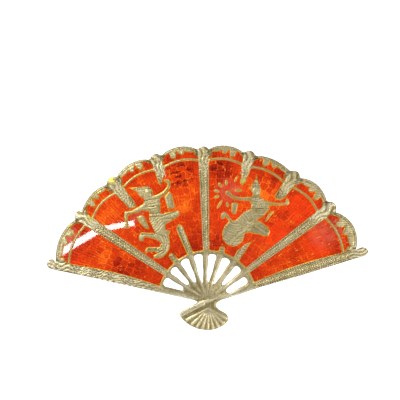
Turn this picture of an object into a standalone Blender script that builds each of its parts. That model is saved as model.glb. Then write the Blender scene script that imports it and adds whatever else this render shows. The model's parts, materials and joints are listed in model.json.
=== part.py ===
"""A brooch in the shape of an open folding fan: one domed, pierced casting whose cells are filled with
enamel, and on its back a hinged pin and a catch with a turning lock.

All sizes are in millimetres and are turned into metres as each mesh is made. Plan positions are measured from
the point where the fan's sticks cross, with +X to the right of the face, +Y up the face and +Z out of it.
"""

import math

import bmesh
import bpy
from mathutils import Matrix, Vector

MM = 0.001

# Place of the sticks' crossing, so that the frame's origin is under the middle of the whole object
CROSSING_X = -0.35
CROSSING_Y = -11.83

# Dome of the whole plate: heights are above the surface that the brooch lies on
DOME_RADIUS = 100.0
DOME_X = 0.25
DOME_Y = 12.0
CROWN_BACK_Z = 4.74
PLATE_THICKNESS = 1.5
CELL_DEPTH = 0.65
ENAMEL_BELOW_RIM = 0.1
ENAMEL_GAP = 0.05
SLAB_X = 32.0
SLAB_LOW_Y = -8.0
SLAB_HIGH_Y = 32.0
SLAB_STEP = 3.2
CUT_HEIGHT = 12.0

# Sticks and ribs, as angles from +X: the first and last are the guards
RIB_ANGLES = (14.7, 34.2, 52.3, 71.0, 88.8, 107.3, 126.0, 143.7, 164.3)
RIGHT_GUARD = 0
CENTRE_RIB = 4
LEFT_GUARD = 8
RIB_INNER_HALF = 0.58
RIB_OUTER_HALF = 1.02
GUARD_INNER_HALF = 0.65
GUARD_OUTER_HALF = 0.9
GUARD_SWELL = 0.45

# Scalloped rim: one lobe between each two ribs and a round knob over each rib
VALLEY_RADIUS = 28.5
VALLEY_SPREAD = 0.9
LOBE_PEAKS = (30.75, 29.9, 29.2, 29.25, 29.3, 29.45, 29.5, 30.1)
LOBE_FULLNESS = 0.75
KNOB_RADIUS = 1.15
KNOB_RISES = (0.0, 0.88, 0.6, 0.6, 0.4, 0.6, 0.6, 0.55)
VALLEY_HALF = 1.35
RIM_STEPS = 9

# Leaf: the enamelled field between the inner band and the rim
BAND_INNER = 8.85
LEAF_INNER = 9.45
ARCH_CROWNS = (27.45, 27.0, 26.8, 26.75, 26.75, 26.9, 27.0, 27.4)
ARCH_RISE = 0.42
ARCH_FOOT = 26.4
ARCH_HALF = 0.24

# Rib stubs that stop short where a dancer stands, as (radius, distance to the left of the rib's middle line),
# from the stub's right side round its end to its left side
UPPER_STUBS = {
    2: ((23.9, -0.85), (23.15, -0.4), (22.9, 0.5), (23.3, 0.95)),
    3: ((24.6, -0.7), (23.2, -0.7), (22.6, -0.2), (22.8, 0.35), (24.5, 0.4)),
    5: ((25.1, -0.75), (24.5, -0.1), (23.35, 0.65), (23.45, 1.0), (24.9, 1.05)),
    6: ((23.0, -0.95), (22.1, -0.6), (22.5, 0.65), (24.0, 0.8)),
}
LOWER_STUBS = {
    2: ((12.5, -0.5), (14.0, -0.5), (12.3, 0.4), (10.8, 0.75)),
    3: ((10.4, -0.4), (10.5, 0.1), (10.3, 0.6)),
    5: ((14.7, -0.42), (15.3, 0.15), (15.1, 0.6), (14.3, 0.95)),
    6: ((10.9, -0.55), (11.3, 0.0), (11.0, 0.6)),
}

# Piercings between the sticks: the radius at which each one's inner end stops, from right to left
PIERCING_ENDS = (3.9, 4.0, 3.35, 3.4, 3.35, 3.9, 4.5, 4.9)
PIERCING_TOPS = (8.4, 8.6, 8.75, 8.8, 8.85, 8.85, 8.85, 8.9)
STICK_PROFILE = ((3.2, 0.42), (5.6, 0.34), (7.0, 0.5), (7.9, 0.5), (8.85, 0.42))
RIGHT_GUARD_PROFILE = ((3.2, 0.05), (4.6, 0.1), (6.0, 0.35), (7.9, 0.7), (8.85, 0.8))
LEFT_GUARD_PROFILE = ((3.2, 0.7), (8.85, 0.78))
PIERCING_LEANS = (0.0, -0.05, -0.3, -0.35, -0.38, -0.38, -0.3, -0.15)
PIERCING_STEPS = 4
PIERCING_CORNER = 0.55

# Scrolled upper edge of a border cell, from its blunt end: share of the way along, height above its arch
SCROLL = (
    (0.0, 0.2), (0.0, 0.65), (0.04, 1.1), (0.12, 1.5), (0.21, 1.65), (0.235, 1.35), (0.225, 0.95),
    (0.25, 0.55), (0.31, 0.35), (0.38, 0.5), (0.41, 0.95), (0.42, 1.55), (0.455, 1.4), (0.49, 0.95),
    (0.54, 0.65), (0.6, 0.7), (0.63, 1.0), (0.62, 1.4), (0.7, 1.15), (0.8, 1.1), (0.93, 1.3),
    (0.9, 0.9), (0.91, 0.6), (1.0, 0.3),
)

# Small fan that the ends of the sticks make below the crossing
HANDLE_OUTLINE = (
    (-1.75, -0.28), (-3.4, -1.05), (-5.32, -1.95), (-5.5, -2.35), (-4.8, -3.4), (-3.6, -4.5),
    (-2.0, -5.3), (0.0, -5.65), (1.5, -5.4), (2.8, -4.8), (3.7, -4.0), (3.8, -3.3), (3.2, -2.5),
    (2.2, -1.95), (1.45, -1.2), (1.65, -0.55),
)

# Dancer with a swept-back headdress, one arm raised and one knee bent
LEFT_DANCER = (
    (-13.8, 21.8), (-12.9, 21.35), (-12.1, 20.8), (-11.8, 20.1), (-11.0, 19.7), (-11.1, 18.7),
    (-12.5, 18.0), (-13.4, 17.5), (-14.7, 17.4), (-14.95, 16.4), (-14.6, 15.2), (-15.1, 14.2),
    (-13.9, 14.2), (-14.2, 15.2), (-14.2, 16.4), (-13.7, 16.9), (-12.6, 17.0), (-11.3, 17.4),
    (-10.1, 17.2), (-10.2, 15.6), (-9.6, 14.1), (-9.1, 13.1), (-10.3, 13.2), (-11.8, 13.4),
    (-12.35, 12.7), (-12.25, 11.7), (-11.4, 11.7), (-11.3, 12.4), (-10.4, 12.3), (-9.0, 11.8),
    (-8.1, 11.2), (-8.5, 10.5), (-9.6, 10.5), (-10.7, 10.55), (-11.35, 9.9), (-11.1, 9.3), (-10.6, 9.7),
    (-9.7, 9.65), (-8.9, 9.3), (-9.8, 8.9), (-9.6, 8.35), (-8.4, 8.3), (-7.3, 9.0), (-6.6, 10.2),
    (-6.5, 11.4), (-6.7, 12.6), (-6.2, 13.35), (-7.2, 13.6), (-7.2, 14.6), (-6.0, 15.2), (-4.4, 16.2),
    (-4.5, 17.15), (-6.2, 16.95), (-8.0, 16.6), (-7.9, 18.3), (-8.0, 19.5), (-6.7, 20.5), (-5.9, 21.6),
    (-5.8, 22.6), (-6.3, 23.15), (-7.0, 23.0), (-6.9, 22.6), (-6.45, 22.2), (-6.6, 21.6), (-7.3, 20.9),
    (-8.4, 20.3), (-9.4, 20.1), (-9.2, 20.9), (-9.6, 21.6), (-10.1, 22.0), (-11.2, 21.9),
)
# Kneeling dancer with a spire headdress and both arms held out
RIGHT_DANCER = (
    (10.3, 23.3), (10.05, 22.0), (9.4, 21.4), (9.0, 20.4), (9.45, 19.5), (9.3, 19.0), (7.0, 19.0),
    (5.7, 19.4), (5.3, 20.0), (4.9, 20.4), (4.4, 20.3), (4.3, 19.8), (4.9, 19.4), (5.6, 18.8),
    (7.0, 18.4), (8.8, 18.2), (9.1, 17.4), (8.9, 16.75), (7.6, 16.2), (6.6, 15.3), (5.9, 14.7),
    (5.3, 14.8), (4.4, 16.2), (3.9, 16.5), (3.3, 16.1), (3.2, 15.2), (3.8, 15.1), (4.1, 15.6),
    (4.75, 14.6), (3.9, 13.8), (3.35, 12.6), (3.4, 11.3), (4.2, 10.2), (5.4, 9.8), (6.5, 10.2),
    (7.1, 10.8), (7.4, 11.5), (7.6, 12.2), (8.4, 12.4), (9.2, 12.1), (10.2, 11.9), (11.1, 11.5),
    (12.0, 11.5), (12.4, 12.3), (12.0, 13.1), (11.0, 14.0), (9.9, 14.7), (10.9, 15.0), (11.7, 15.8),
    (12.6, 16.6), (12.2, 17.2), (14.0, 17.1), (15.9, 17.1), (16.3, 17.5), (16.0, 18.4), (15.65, 18.25),
    (15.4, 17.55), (13.2, 17.7), (12.0, 18.1), (10.9, 18.6), (10.8, 19.3), (11.0, 20.1), (10.95, 20.9),
    (10.55, 21.7),
)
# Loose ribbon ends beside the dancers
RIBBONS = {
    "left": (
        ((-7.2, 19.8), (-6.6, 17.4), (-5.2, 17.6), (-5.7, 20.3), (-6.2, 20.8)),
        ((-12.6, 16.3), (-12.0, 15.1), (-11.0, 14.0), (-10.2, 13.9), (-11.0, 16.2), (-11.5, 16.6)),
    ),
    "right": (
        ((5.4, 18.0), (5.25, 16.3), (5.6, 15.9), (6.1, 15.9), (6.7, 17.9), (6.0, 18.1)),
        ((11.4, 14.3), (11.75, 14.2), (13.3, 16.0), (13.0, 16.2), (12.2, 15.6)),
    ),
}
# Petals round the kneeling dancer's hand: centre, length, width and direction
PETALS = (
    (3.4, 21.5, 1.1, 0.6, 125.0), (4.6, 21.9, 1.1, 0.6, 95.0), (2.7, 20.4, 1.15, 0.6, 165.0),
    (2.65, 19.3, 1.1, 0.58, 15.0), (6.8, 20.3, 1.5, 0.6, 0.0), (3.15, 17.9, 2.0, 0.5, 55.0),
    (4.6, 17.75, 1.1, 0.55, 100.0), (6.45, 22.5, 1.5, 0.38, 60.0),
)
PETAL_POINTS = 8

# Pin work on the back
PIN_Y = 17.0
PIN_Z = 1.3
HINGE_X = -17.0
CATCH_X = 17.1
SOLDER_GAP = 0.04
PIN_RADIUS = 0.36
PIN_TIP_RADIUS = 0.06
PIN_TAPER_START = 14.5
PIN_TIP_X = 20.3
EYE_RADIUS = 0.92
EYE_WIDTH = 1.7
RIVET_HOLE_RADIUS = 0.42
RIVET_RADIUS = 0.37
RIVET_HEAD_RADIUS = 0.68
RIVET_HEAD_HEIGHT = 0.28
EAR_INNER_Y = 0.92
EAR_OUTER_Y = 1.5
EAR_HALF_LENGTH = 1.15
EAR_CORNER = 0.35
EAR_ROOM = 1.05
CATCH_LENGTH = 2.0
CATCH_RADIUS = 1.4
CATCH_BORE = 0.98
CATCH_SLOT_HALF = 0.5
CATCH_NECK_HALF = 1.05
CATCH_FOOT_HALF = 1.55
CATCH_FOOT_RISE = 1.2
ROLLER_RADIUS = 0.93
ROLLER_BORE = 0.52
ROLLER_SLOT_HALF = 0.44
ROLLER_FLANGE_RADIUS = 1.1
ROLLER_FLANGE_LENGTH = 0.35
ROLLER_END_PLAY = 0.06
LEVER_LENGTH = 1.85
LEVER_HALF = 0.24
LEVER_ANGLE = -20.0
ROUND_STEPS = 24

COLOURS = {
    "gilt_silver": ((0.48, 0.38, 0.19, 1.0), 0.35, 1.0),
    "red_enamel": ((0.70, 0.065, 0.008, 1.0), 0.12, 0.0),
    "plain_silver": ((0.62, 0.60, 0.55, 1.0), 0.3, 1.0),
}


def clear_scene():
    for obj in list(bpy.data.objects):
        bpy.data.objects.remove(obj)


def make_collection(name):
    made = bpy.data.collections.new(name)
    bpy.context.scene.collection.children.link(made)
    return made


def make_material(name):
    colour, roughness, metallic = COLOURS[name]
    material = bpy.data.materials.new(name)
    material.use_nodes = True
    shader = material.node_tree.nodes["Principled BSDF"]
    shader.inputs["Base Color"].default_value = colour
    shader.inputs["Roughness"].default_value = roughness
    shader.inputs["Metallic"].default_value = metallic
    material.diffuse_color = colour
    return material


def make_empty(name, parent, x, y, z):
    empty = bpy.data.objects.new(name, None)
    PARTS.objects.link(empty)
    empty.parent = parent
    empty.location = Vector((x, y, z)) * MM
    return empty


def new_part(name, mesh, material, parent):
    obj = bpy.data.objects.new(name, mesh)
    PARTS.objects.link(obj)
    mesh.materials.clear()
    mesh.materials.append(MATERIALS[material])
    obj.parent = parent
    return obj


def new_cutter(name, mesh, parent):
    obj = bpy.data.objects.new(name, mesh)
    CUTTERS.objects.link(obj)
    obj.hide_render = True
    obj.display_type = "WIRE"
    obj.parent = parent
    return obj


def boolean(obj, cutter, operation="DIFFERENCE"):
    modifier = obj.modifiers.new(f"{operation.title()} {cutter.name}", "BOOLEAN")
    modifier.operation = operation
    modifier.object = cutter
    modifier.solver = "EXACT"


def baked(obj):
    """The object's mesh with its modifiers applied."""
    graph = bpy.context.evaluated_depsgraph_get()
    return bpy.data.meshes.new_from_object(obj.evaluated_get(graph))


# Plan shapes, in millimetres from the crossing


def polar(radius, degrees):
    angle = math.radians(degrees)
    return (radius * math.cos(angle), radius * math.sin(angle))


def beside(rib, radius, half_width, side):
    """The point at this radius that lies half_width from a rib's middle line; side 1 is anticlockwise."""
    turn = math.degrees(math.asin(half_width / radius))
    return polar(radius, RIB_ANGLES[rib] + side * turn)


def rib_half(rib, radius):
    """Half the width of a rib or guard in the leaf."""
    share = min(1.0, (radius - LEAF_INNER) / (ARCH_FOOT - LEAF_INNER))
    if rib in (RIGHT_GUARD, LEFT_GUARD):
        swell = GUARD_SWELL * math.sin(math.pi * share)
        return GUARD_INNER_HALF + (GUARD_OUTER_HALF - GUARD_INNER_HALF) * share + swell
    return RIB_INNER_HALF + (RIB_OUTER_HALF - RIB_INNER_HALF) * share


def valley_radius(degrees):
    return VALLEY_RADIUS + VALLEY_SPREAD * math.cos(math.radians(degrees)) ** 2


def rim_points():
    """The scalloped edge from the right guard to the left one."""
    points = []
    for lobe, peak in enumerate(LOBE_PEAKS):
        start, end = RIB_ANGLES[lobe], RIB_ANGLES[lobe + 1]
        if lobe > 0:
            middle = valley_radius(start) + KNOB_RISES[lobe] - KNOB_RADIUS
            centre = Vector(polar(middle, start))
            for turn in (-60, -30, 0, 30, 60):
                points.append(tuple(centre + Vector(polar(KNOB_RADIUS, start + turn))))
        margin = math.degrees(VALLEY_HALF / VALLEY_RADIUS)
        low = start + (margin if lobe > 0 else 1.2)
        high = end - (margin if lobe < len(LOBE_PEAKS) - 1 else 1.2)
        for step in range(RIM_STEPS):
            share = step / (RIM_STEPS - 1)
            degrees = low + (high - low) * share
            valley = valley_radius(degrees)
            rise = math.sin(math.pi * share) ** LOBE_FULLNESS
            points.append(polar(valley + (peak - valley) * rise, degrees))
    return points


def plate_outline():
    """The casting's outer edge, anticlockwise from the right of the crossing."""
    right_guard = [
        (2.5, -0.05), (4.3, 0.35), (10.0, 2.0), (19.2, 4.2), (27.7, 6.35), (29.3, 6.7), (30.2, 6.95),
        (30.6, 7.4), (30.6, 7.9), (30.15, 8.4), (29.4, 8.55),
    ]
    left_guard = [
        (-28.9, 9.25), (-29.6, 8.85), (-29.9, 8.2), (-29.6, 7.5), (-28.3, 7.05), (-20.0, 4.95),
        (-10.0, 2.2), (-2.4, 0.15),
    ]
    return right_guard + rim_points() + left_guard + list(HANDLE_OUTLINE)


def stick_half(rib, radius):
    """Half the width of a stick below the band, from its turned profile."""
    profile = {RIGHT_GUARD: RIGHT_GUARD_PROFILE, LEFT_GUARD: LEFT_GUARD_PROFILE}.get(rib, STICK_PROFILE)
    for (low, low_half), (high, high_half) in zip(profile, profile[1:]):
        if radius <= high:
            share = max(0.0, (radius - low) / (high - low))
            return low_half + (high_half - low_half) * share
    return profile[-1][1]


def piercing(sector):
    """The opening between two neighbouring sticks, with rounded ends."""
    inner, outer = PIERCING_ENDS[sector], PIERCING_TOPS[sector]
    middle = (RIB_ANGLES[sector] + RIB_ANGLES[sector + 1]) / 2
    radii = [
        inner + (outer - PIERCING_CORNER - inner) * (0.06 + 0.94 * step / PIERCING_STEPS)
        for step in range(PIERCING_STEPS + 1)
    ]
    right = [beside(sector, radius, stick_half(sector, radius), 1) for radius in radii]
    left = [beside(sector + 1, radius, stick_half(sector + 1, radius), -1) for radius in reversed(radii)]
    shoulder = outer - 0.12
    top = [
        beside(sector, shoulder, stick_half(sector, shoulder) + 0.3, 1),
        polar(outer, middle),
        beside(sector + 1, shoulder, stick_half(sector + 1, shoulder) + 0.3, -1),
    ]
    loop = [polar(inner - 0.1, middle)] + right + top + left
    return [(x + PIERCING_LEANS[sector] * (1.3 - 0.1 * math.hypot(x, y)), y) for x, y in loop]


def arch_edge(sector, side, steps):
    """Points along one edge of the wire arch over a sector; side 1 is its outer edge."""
    start = RIB_ANGLES[sector] + math.degrees(rib_half(sector, ARCH_FOOT) / ARCH_FOOT)
    end = RIB_ANGLES[sector + 1] - math.degrees(rib_half(sector + 1, ARCH_FOOT) / ARCH_FOOT)
    points = []
    for step in range(steps + 1):
        share = step / steps
        points.append(polar(arch_radius(sector, share) + side * ARCH_HALF, start + (end - start) * share))
    return points


def arch_radius(sector, share):
    return ARCH_CROWNS[sector] - ARCH_RISE * (1 - math.sin(math.pi * share))


def stub(rib, base_radius, profile):
    """A rib stub's outline, from its right side to its left one."""
    base = rib_half(rib, base_radius)
    rows = [(base_radius, -base), *profile, (base_radius, base)]
    return [beside(rib, radius, across, 1) for radius, across in rows]


def rib_side(rib, side, radii):
    return [beside(rib, radius, rib_half(rib, radius), side) for radius in radii]


def panel(right, left):
    """A field of the leaf between two full ribs, with the stubs of the ribs between them."""
    swell = (14.0, 18.5, 23.0)
    points = []
    for sector in range(right, left):
        points.append(polar(LEAF_INNER, (RIB_ANGLES[sector] + RIB_ANGLES[sector + 1]) / 2))
        if sector + 1 < left:
            points += stub(sector + 1, LEAF_INNER, LOWER_STUBS[sector + 1])
    points += rib_side(left, -1, (LEAF_INNER, *swell) if left == LEFT_GUARD else (LEAF_INNER,))
    for sector in reversed(range(right, left)):
        points += reversed(arch_edge(sector, -1, 6))
        if sector > right:
            points += reversed(stub(sector, ARCH_FOOT, UPPER_STUBS[sector])[1:-1])
    points += rib_side(right, 1, (*reversed(swell), LEAF_INNER) if right == RIGHT_GUARD else (LEAF_INNER,))
    return points


def border_cell(sector):
    """The scrolled cell between an arch and the rim; its blunt end is on the right in every other sector."""
    start = RIB_ANGLES[sector] + math.degrees(rib_half(sector, ARCH_FOOT) / ARCH_FOOT)
    end = RIB_ANGLES[sector + 1] - math.degrees(rib_half(sector + 1, ARCH_FOOT) / ARCH_FOOT)
    blunt_right = sector % 2 == 1
    scroll = []
    for along, height in SCROLL:
        share = along if blunt_right else 1 - along
        scroll.append(polar(arch_radius(sector, share) + ARCH_HALF + height, start + (end - start) * share))
    if blunt_right:
        scroll.reverse()
    return arch_edge(sector, 1, 6) + scroll


def petal(x, y, length, width, degrees):
    turn = math.radians(degrees)
    points = []
    for step in range(PETAL_POINTS):
        angle = 2 * math.pi * step / PETAL_POINTS
        along, across = length / 2 * math.cos(angle), width / 2 * math.sin(angle)
        points.append((
            x + along * math.cos(turn) - across * math.sin(turn),
            y + along * math.sin(turn) + across * math.cos(turn),
        ))
    return points


# Solids


def turning(loop, anticlockwise):
    """The loop run in the wanted direction."""
    area = sum(x1 * y2 - x2 * y1 for (x1, y1), (x2, y2) in zip(loop, loop[1:] + loop[:1]))
    return loop if (area > 0) == anticlockwise else loop[::-1]


def prism(name, loops, low, high, inset=0.0):
    """A flat shape of closed loops, the later ones being holes, as a closed mesh between two heights."""
    curve = bpy.data.curves.new(name, "CURVE")
    curve.dimensions = "2D"
    curve.fill_mode = "BOTH"
    curve.extrude = (high - low) / 2
    curve.offset = -inset
    for index, loop in enumerate(loops):
        loop = turning(list(loop), index == 0)
        spline = curve.splines.new("POLY")
        spline.points.add(len(loop) - 1)
        for point, (x, y) in zip(spline.points, loop):
            point.co = (x, y, 0.0, 1.0)
        spline.use_cyclic_u = True
    holder = bpy.data.objects.new(name, curve)
    CUTTERS.objects.link(holder)
    mesh = baked(holder)
    bpy.data.objects.remove(holder)
    shape = bmesh.new()
    shape.from_mesh(mesh)
    bmesh.ops.translate(shape, verts=shape.verts, vec=(0, 0, (high + low) / 2))
    bmesh.ops.remove_doubles(shape, verts=shape.verts, dist=0.001)
    bmesh.ops.recalc_face_normals(shape, faces=shape.faces)
    bmesh.ops.scale(shape, verts=shape.verts, vec=(MM, MM, MM))
    shape.to_mesh(mesh)
    shape.free()
    return mesh


def dome_back(x, y):
    """Height of the plate's back surface."""
    return CROWN_BACK_Z - ((x - DOME_X) ** 2 + (y - DOME_Y) ** 2) / (2 * DOME_RADIUS)


def domed_slab(name, low, high):
    """A slab under the whole plan that follows the dome, between two heights over the back surface."""
    width, depth = 2 * SLAB_X, SLAB_HIGH_Y - SLAB_LOW_Y
    shape = bmesh.new()
    bmesh.ops.create_grid(
        shape,
        x_segments=round(width / SLAB_STEP),
        y_segments=round(depth / SLAB_STEP),
        size=0.5,
    )
    bmesh.ops.scale(shape, verts=shape.verts, vec=(width, depth, 1))
    bmesh.ops.translate(shape, verts=shape.verts, vec=(0, (SLAB_HIGH_Y + SLAB_LOW_Y) / 2, low))
    raised = bmesh.ops.extrude_face_region(shape, geom=shape.faces[:])
    tops = [item for item in raised["geom"] if isinstance(item, bmesh.types.BMVert)]
    bmesh.ops.translate(shape, verts=tops, vec=(0, 0, high - low))
    for vert in shape.verts:
        vert.co.z += dome_back(vert.co.x, vert.co.y)
    bmesh.ops.recalc_face_normals(shape, faces=shape.faces)
    bmesh.ops.scale(shape, verts=shape.verts, vec=(MM, MM, MM))
    mesh = bpy.data.meshes.new(name)
    shape.to_mesh(mesh)
    shape.free()
    return mesh


def finish_round(shape, mesh):
    """Write a round solid into its mesh, in metres and shaded smooth."""
    bmesh.ops.recalc_face_normals(shape, faces=shape.faces)
    bmesh.ops.scale(shape, verts=shape.verts, vec=(MM, MM, MM))
    shape.to_mesh(mesh)
    shape.free()
    mesh.shade_smooth()
    mesh.set_sharp_from_angle(angle=math.radians(40))
    return mesh


def along(axis, centre):
    """Turn a solid from its own Z to X or Y, and move it to its centre."""
    spin = Matrix.Rotation(math.radians(90), 4, "Y" if axis == "X" else "X")
    return Matrix.Translation(centre) @ spin


def cylinder(name, radius, length, axis, centre=(0, 0, 0)):
    shape = bmesh.new()
    bmesh.ops.create_cone(
        shape, cap_ends=True, segments=ROUND_STEPS, radius1=radius, radius2=radius, depth=length
    )
    bmesh.ops.transform(shape, verts=shape.verts, matrix=along(axis, centre))
    return finish_round(shape, bpy.data.meshes.new(name))


def box(name, low, high):
    shape = bmesh.new()
    bmesh.ops.create_cube(shape, size=1)
    size = [b - a for a, b in zip(low, high)]
    middle = [(b + a) / 2 for a, b in zip(low, high)]
    bmesh.ops.scale(shape, verts=shape.verts, vec=size)
    bmesh.ops.translate(shape, verts=shape.verts, vec=middle)
    bmesh.ops.scale(shape, verts=shape.verts, vec=(MM, MM, MM))
    mesh = bpy.data.meshes.new(name)
    shape.to_mesh(mesh)
    shape.free()
    return mesh


def turned(name, profile, axis):
    """A solid of revolution from (radius, distance) points that start and end on the axis."""
    mesh = bpy.data.meshes.new(name)
    mesh.from_pydata([(r, 0, z) for r, z in profile], [(i, i + 1) for i in range(len(profile) - 1)], [])
    blank = bpy.data.objects.new(name, mesh)
    CUTTERS.objects.link(blank)
    screw = blank.modifiers.new("Screw", "SCREW")
    screw.steps = ROUND_STEPS
    screw.render_steps = ROUND_STEPS
    screw.use_merge_vertices = True
    screw.merge_threshold = 0.0001
    solid = baked(blank)
    bpy.data.objects.remove(blank)
    shape = bmesh.new()
    shape.from_mesh(solid)
    bmesh.ops.remove_doubles(shape, verts=shape.verts, dist=0.0001)
    bmesh.ops.transform(shape, verts=shape.verts, matrix=along(axis, (0, 0, 0)))
    return finish_round(shape, solid)


def cell_loops():
    """Every enamelled cell by name: its outline, then the metal islands that stand in it."""
    petals = [petal(*row) for row in PETALS]
    cells = {
        "enamel_panel_right": [panel(RIGHT_GUARD, 1)],
        "enamel_panel_kneeling_dancer": [panel(1, CENTRE_RIB), RIGHT_DANCER, *RIBBONS["right"], *petals],
        "enamel_panel_standing_dancer": [panel(CENTRE_RIB, 7), LEFT_DANCER, *RIBBONS["left"]],
        "enamel_panel_left": [panel(7, LEFT_GUARD)],
    }
    for sector in range(len(LOBE_PEAKS)):
        cells[f"enamel_border_{sector + 1}"] = [border_cell(sector)]
    return cells


def build_plate(cells):
    """The casting, with a floor left under each cell, and the enamel in the cells."""
    outline = [plate_outline()] + [piercing(sector) for sector in range(len(PIERCING_ENDS))]
    plate_cut = new_cutter("plate_plan", prism("plate_plan", outline, -2, CUT_HEIGHT), CROSSING)
    floor = PLATE_THICKNESS - CELL_DEPTH
    cell_room = new_cutter("cell_room", domed_slab("cell_room", floor, PLATE_THICKNESS + 2), CROSSING)
    cell_cut = new_cutter("cell_plan", cell_prisms(cells), CROSSING)
    boolean(cell_cut, cell_room, "INTERSECT")

    plate = new_part("fan_casting", domed_slab("fan_casting", 0, PLATE_THICKNESS), "gilt_silver", CROSSING)
    boolean(plate, plate_cut, "INTERSECT")
    boolean(plate, cell_cut)

    fill_top = PLATE_THICKNESS - ENAMEL_BELOW_RIM
    fill_room = new_cutter("fill_room", domed_slab("fill_room", floor + ENAMEL_GAP, fill_top), CROSSING)
    for name, loops in cells.items():
        fill = new_part(name, prism(name, loops, -2, CUT_HEIGHT, ENAMEL_GAP), "red_enamel", CROSSING)
        boolean(fill, fill_room, "INTERSECT")


def cell_prisms(cells):
    """One mesh of every cell's plan; the cells don't touch each other."""
    together = bmesh.new()
    for name, loops in cells.items():
        together.from_mesh(prism(name, loops, -2, CUT_HEIGHT))
    mesh = bpy.data.meshes.new("cell_plan")
    together.to_mesh(mesh)
    together.free()
    return mesh


def build_hinge(axis, under_plate):
    """A bracket with two ears, the rivet through them and the pin that turns on it."""
    ear = EAR_HALF_LENGTH
    block = box("hinge_bracket", (-ear, -EAR_OUTER_Y, -PIN_Z), (ear, EAR_OUTER_Y, CUT_HEIGHT / 2))
    bracket = new_part("hinge_bracket", block, "gilt_silver", axis)
    gap = box("ear_gap", (-ear - 1, -EAR_INNER_Y, -PIN_Z - 1), (ear + 1, EAR_INNER_Y, EAR_ROOM))
    boolean(bracket, new_cutter("ear_gap", gap, axis))
    for edge in (-ear, ear):
        corner = box("ear_corner", (-EAR_CORNER, -3, -EAR_CORNER), (EAR_CORNER, 3, EAR_CORNER))
        cutter = new_cutter("ear_corner", corner, axis)
        cutter.location = Vector((edge, 0, -PIN_Z)) * MM
        cutter.rotation_euler.y = math.radians(45)
        boolean(bracket, cutter)
    rivet_hole = new_cutter("rivet_hole", cylinder("rivet_hole", RIVET_HOLE_RADIUS, 6, "Y"), axis)
    boolean(bracket, rivet_hole)
    boolean(bracket, under_plate, "INTERSECT")

    reach = EAR_OUTER_Y + ENAMEL_GAP
    top = reach + RIVET_HEAD_HEIGHT
    half = [
        (RIVET_RADIUS, reach),
        (RIVET_HEAD_RADIUS, reach),
        (RIVET_HEAD_RADIUS * 0.8, reach + RIVET_HEAD_HEIGHT * 0.7),
        (0.0, top),
    ]
    profile = [(radius, -distance) for radius, distance in reversed(half)] + half
    new_part("hinge_rivet", turned("hinge_rivet", profile, "Y"), "plain_silver", axis)

    pin = new_part("pin", cylinder("pin", EYE_RADIUS, EYE_WIDTH, "Y"), "plain_silver", axis)
    start = EYE_RADIUS - 0.3
    stem_profile = [
        (0.0, start),
        (PIN_RADIUS, start),
        (PIN_RADIUS, PIN_TAPER_START - HINGE_X),
        (PIN_TIP_RADIUS, PIN_TIP_X - HINGE_X - 0.1),
        (0.0, PIN_TIP_X - HINGE_X),
    ]
    boolean(pin, new_cutter("pin_stem", turned("pin_stem", stem_profile, "X"), axis), "UNION")
    boolean(pin, rivet_hole)


def build_catch(axis, under_plate):
    """A slotted barrel on a foot, and the slotted roller that turns in it to lock the pin."""
    end = CATCH_LENGTH / 2
    barrel = cylinder("catch_body", CATCH_RADIUS, CATCH_LENGTH, "X")
    body = new_part("catch_body", barrel, "gilt_silver", axis)
    neck = box(
        "catch_neck",
        (-end + 0.06, -CATCH_NECK_HALF, 0.4),
        (end - 0.06, CATCH_NECK_HALF, CUT_HEIGHT / 2),
    )
    boolean(body, new_cutter("catch_neck", neck, axis), "UNION")
    foot = box(
        "catch_foot",
        (-end - 0.3, -CATCH_FOOT_HALF, CATCH_FOOT_RISE),
        (end + 0.3, CATCH_FOOT_HALF, CUT_HEIGHT / 2 - 0.1),
    )
    boolean(body, new_cutter("catch_foot", foot, axis), "UNION")
    boolean(body, new_cutter("catch_bore", cylinder("catch_bore", CATCH_BORE, 8, "X"), axis))
    slot = box("catch_slot", (-end - 1, -CATCH_SLOT_HALF, -3), (end + 1, CATCH_SLOT_HALF, 0))
    boolean(body, new_cutter("catch_slot", slot, axis))
    boolean(body, under_plate, "INTERSECT")

    core = cylinder("catch_roller", ROLLER_RADIUS, CATCH_LENGTH + 2 * ROLLER_END_PLAY + 0.2, "X")
    roller = new_part("catch_roller", core, "plain_silver", axis)
    reach = end + ROLLER_END_PLAY + ROLLER_FLANGE_LENGTH / 2
    for side in (-1, 1):
        flange = cylinder("flange", ROLLER_FLANGE_RADIUS, ROLLER_FLANGE_LENGTH, "X", (side * reach, 0, 0))
        boolean(roller, new_cutter("roller_flange", flange, axis), "UNION")
    lever = box(
        "lever",
        (reach - ROLLER_FLANGE_LENGTH / 2, ROLLER_RADIUS - 0.1, -LEVER_HALF),
        (reach + ROLLER_FLANGE_LENGTH / 2 + 0.25, LEVER_LENGTH, LEVER_HALF),
    )
    cutter = new_cutter("lever", lever, axis)
    cutter.rotation_euler.x = math.radians(LEVER_ANGLE)
    boolean(roller, cutter, "UNION")
    boolean(roller, new_cutter("roller_bore", cylinder("roller_bore", ROLLER_BORE, 8, "X"), axis))
    slot = box("roller_slot", (-end - 1, -ROLLER_SLOT_HALF, -3), (end + 1, ROLLER_SLOT_HALF, 0))
    boolean(roller, new_cutter("roller_slot", slot, axis))


clear_scene()
PARTS = make_collection("fan_brooch")
CUTTERS = make_collection("cutters")
MATERIALS = {name: make_material(name) for name in COLOURS}
CROSSING = make_empty("stick_crossing", None, CROSSING_X, CROSSING_Y, 0)

build_plate(cell_loops())
below_back = new_cutter("under_plate", domed_slab("under_plate", -CUT_HEIGHT, -SOLDER_GAP), CROSSING)
build_hinge(make_empty("hinge_axis", CROSSING, HINGE_X, PIN_Y, PIN_Z), below_back)
build_catch(make_empty("catch_axis", CROSSING, CATCH_X, PIN_Y, PIN_Z), below_back)
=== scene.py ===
import json
import math

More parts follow.
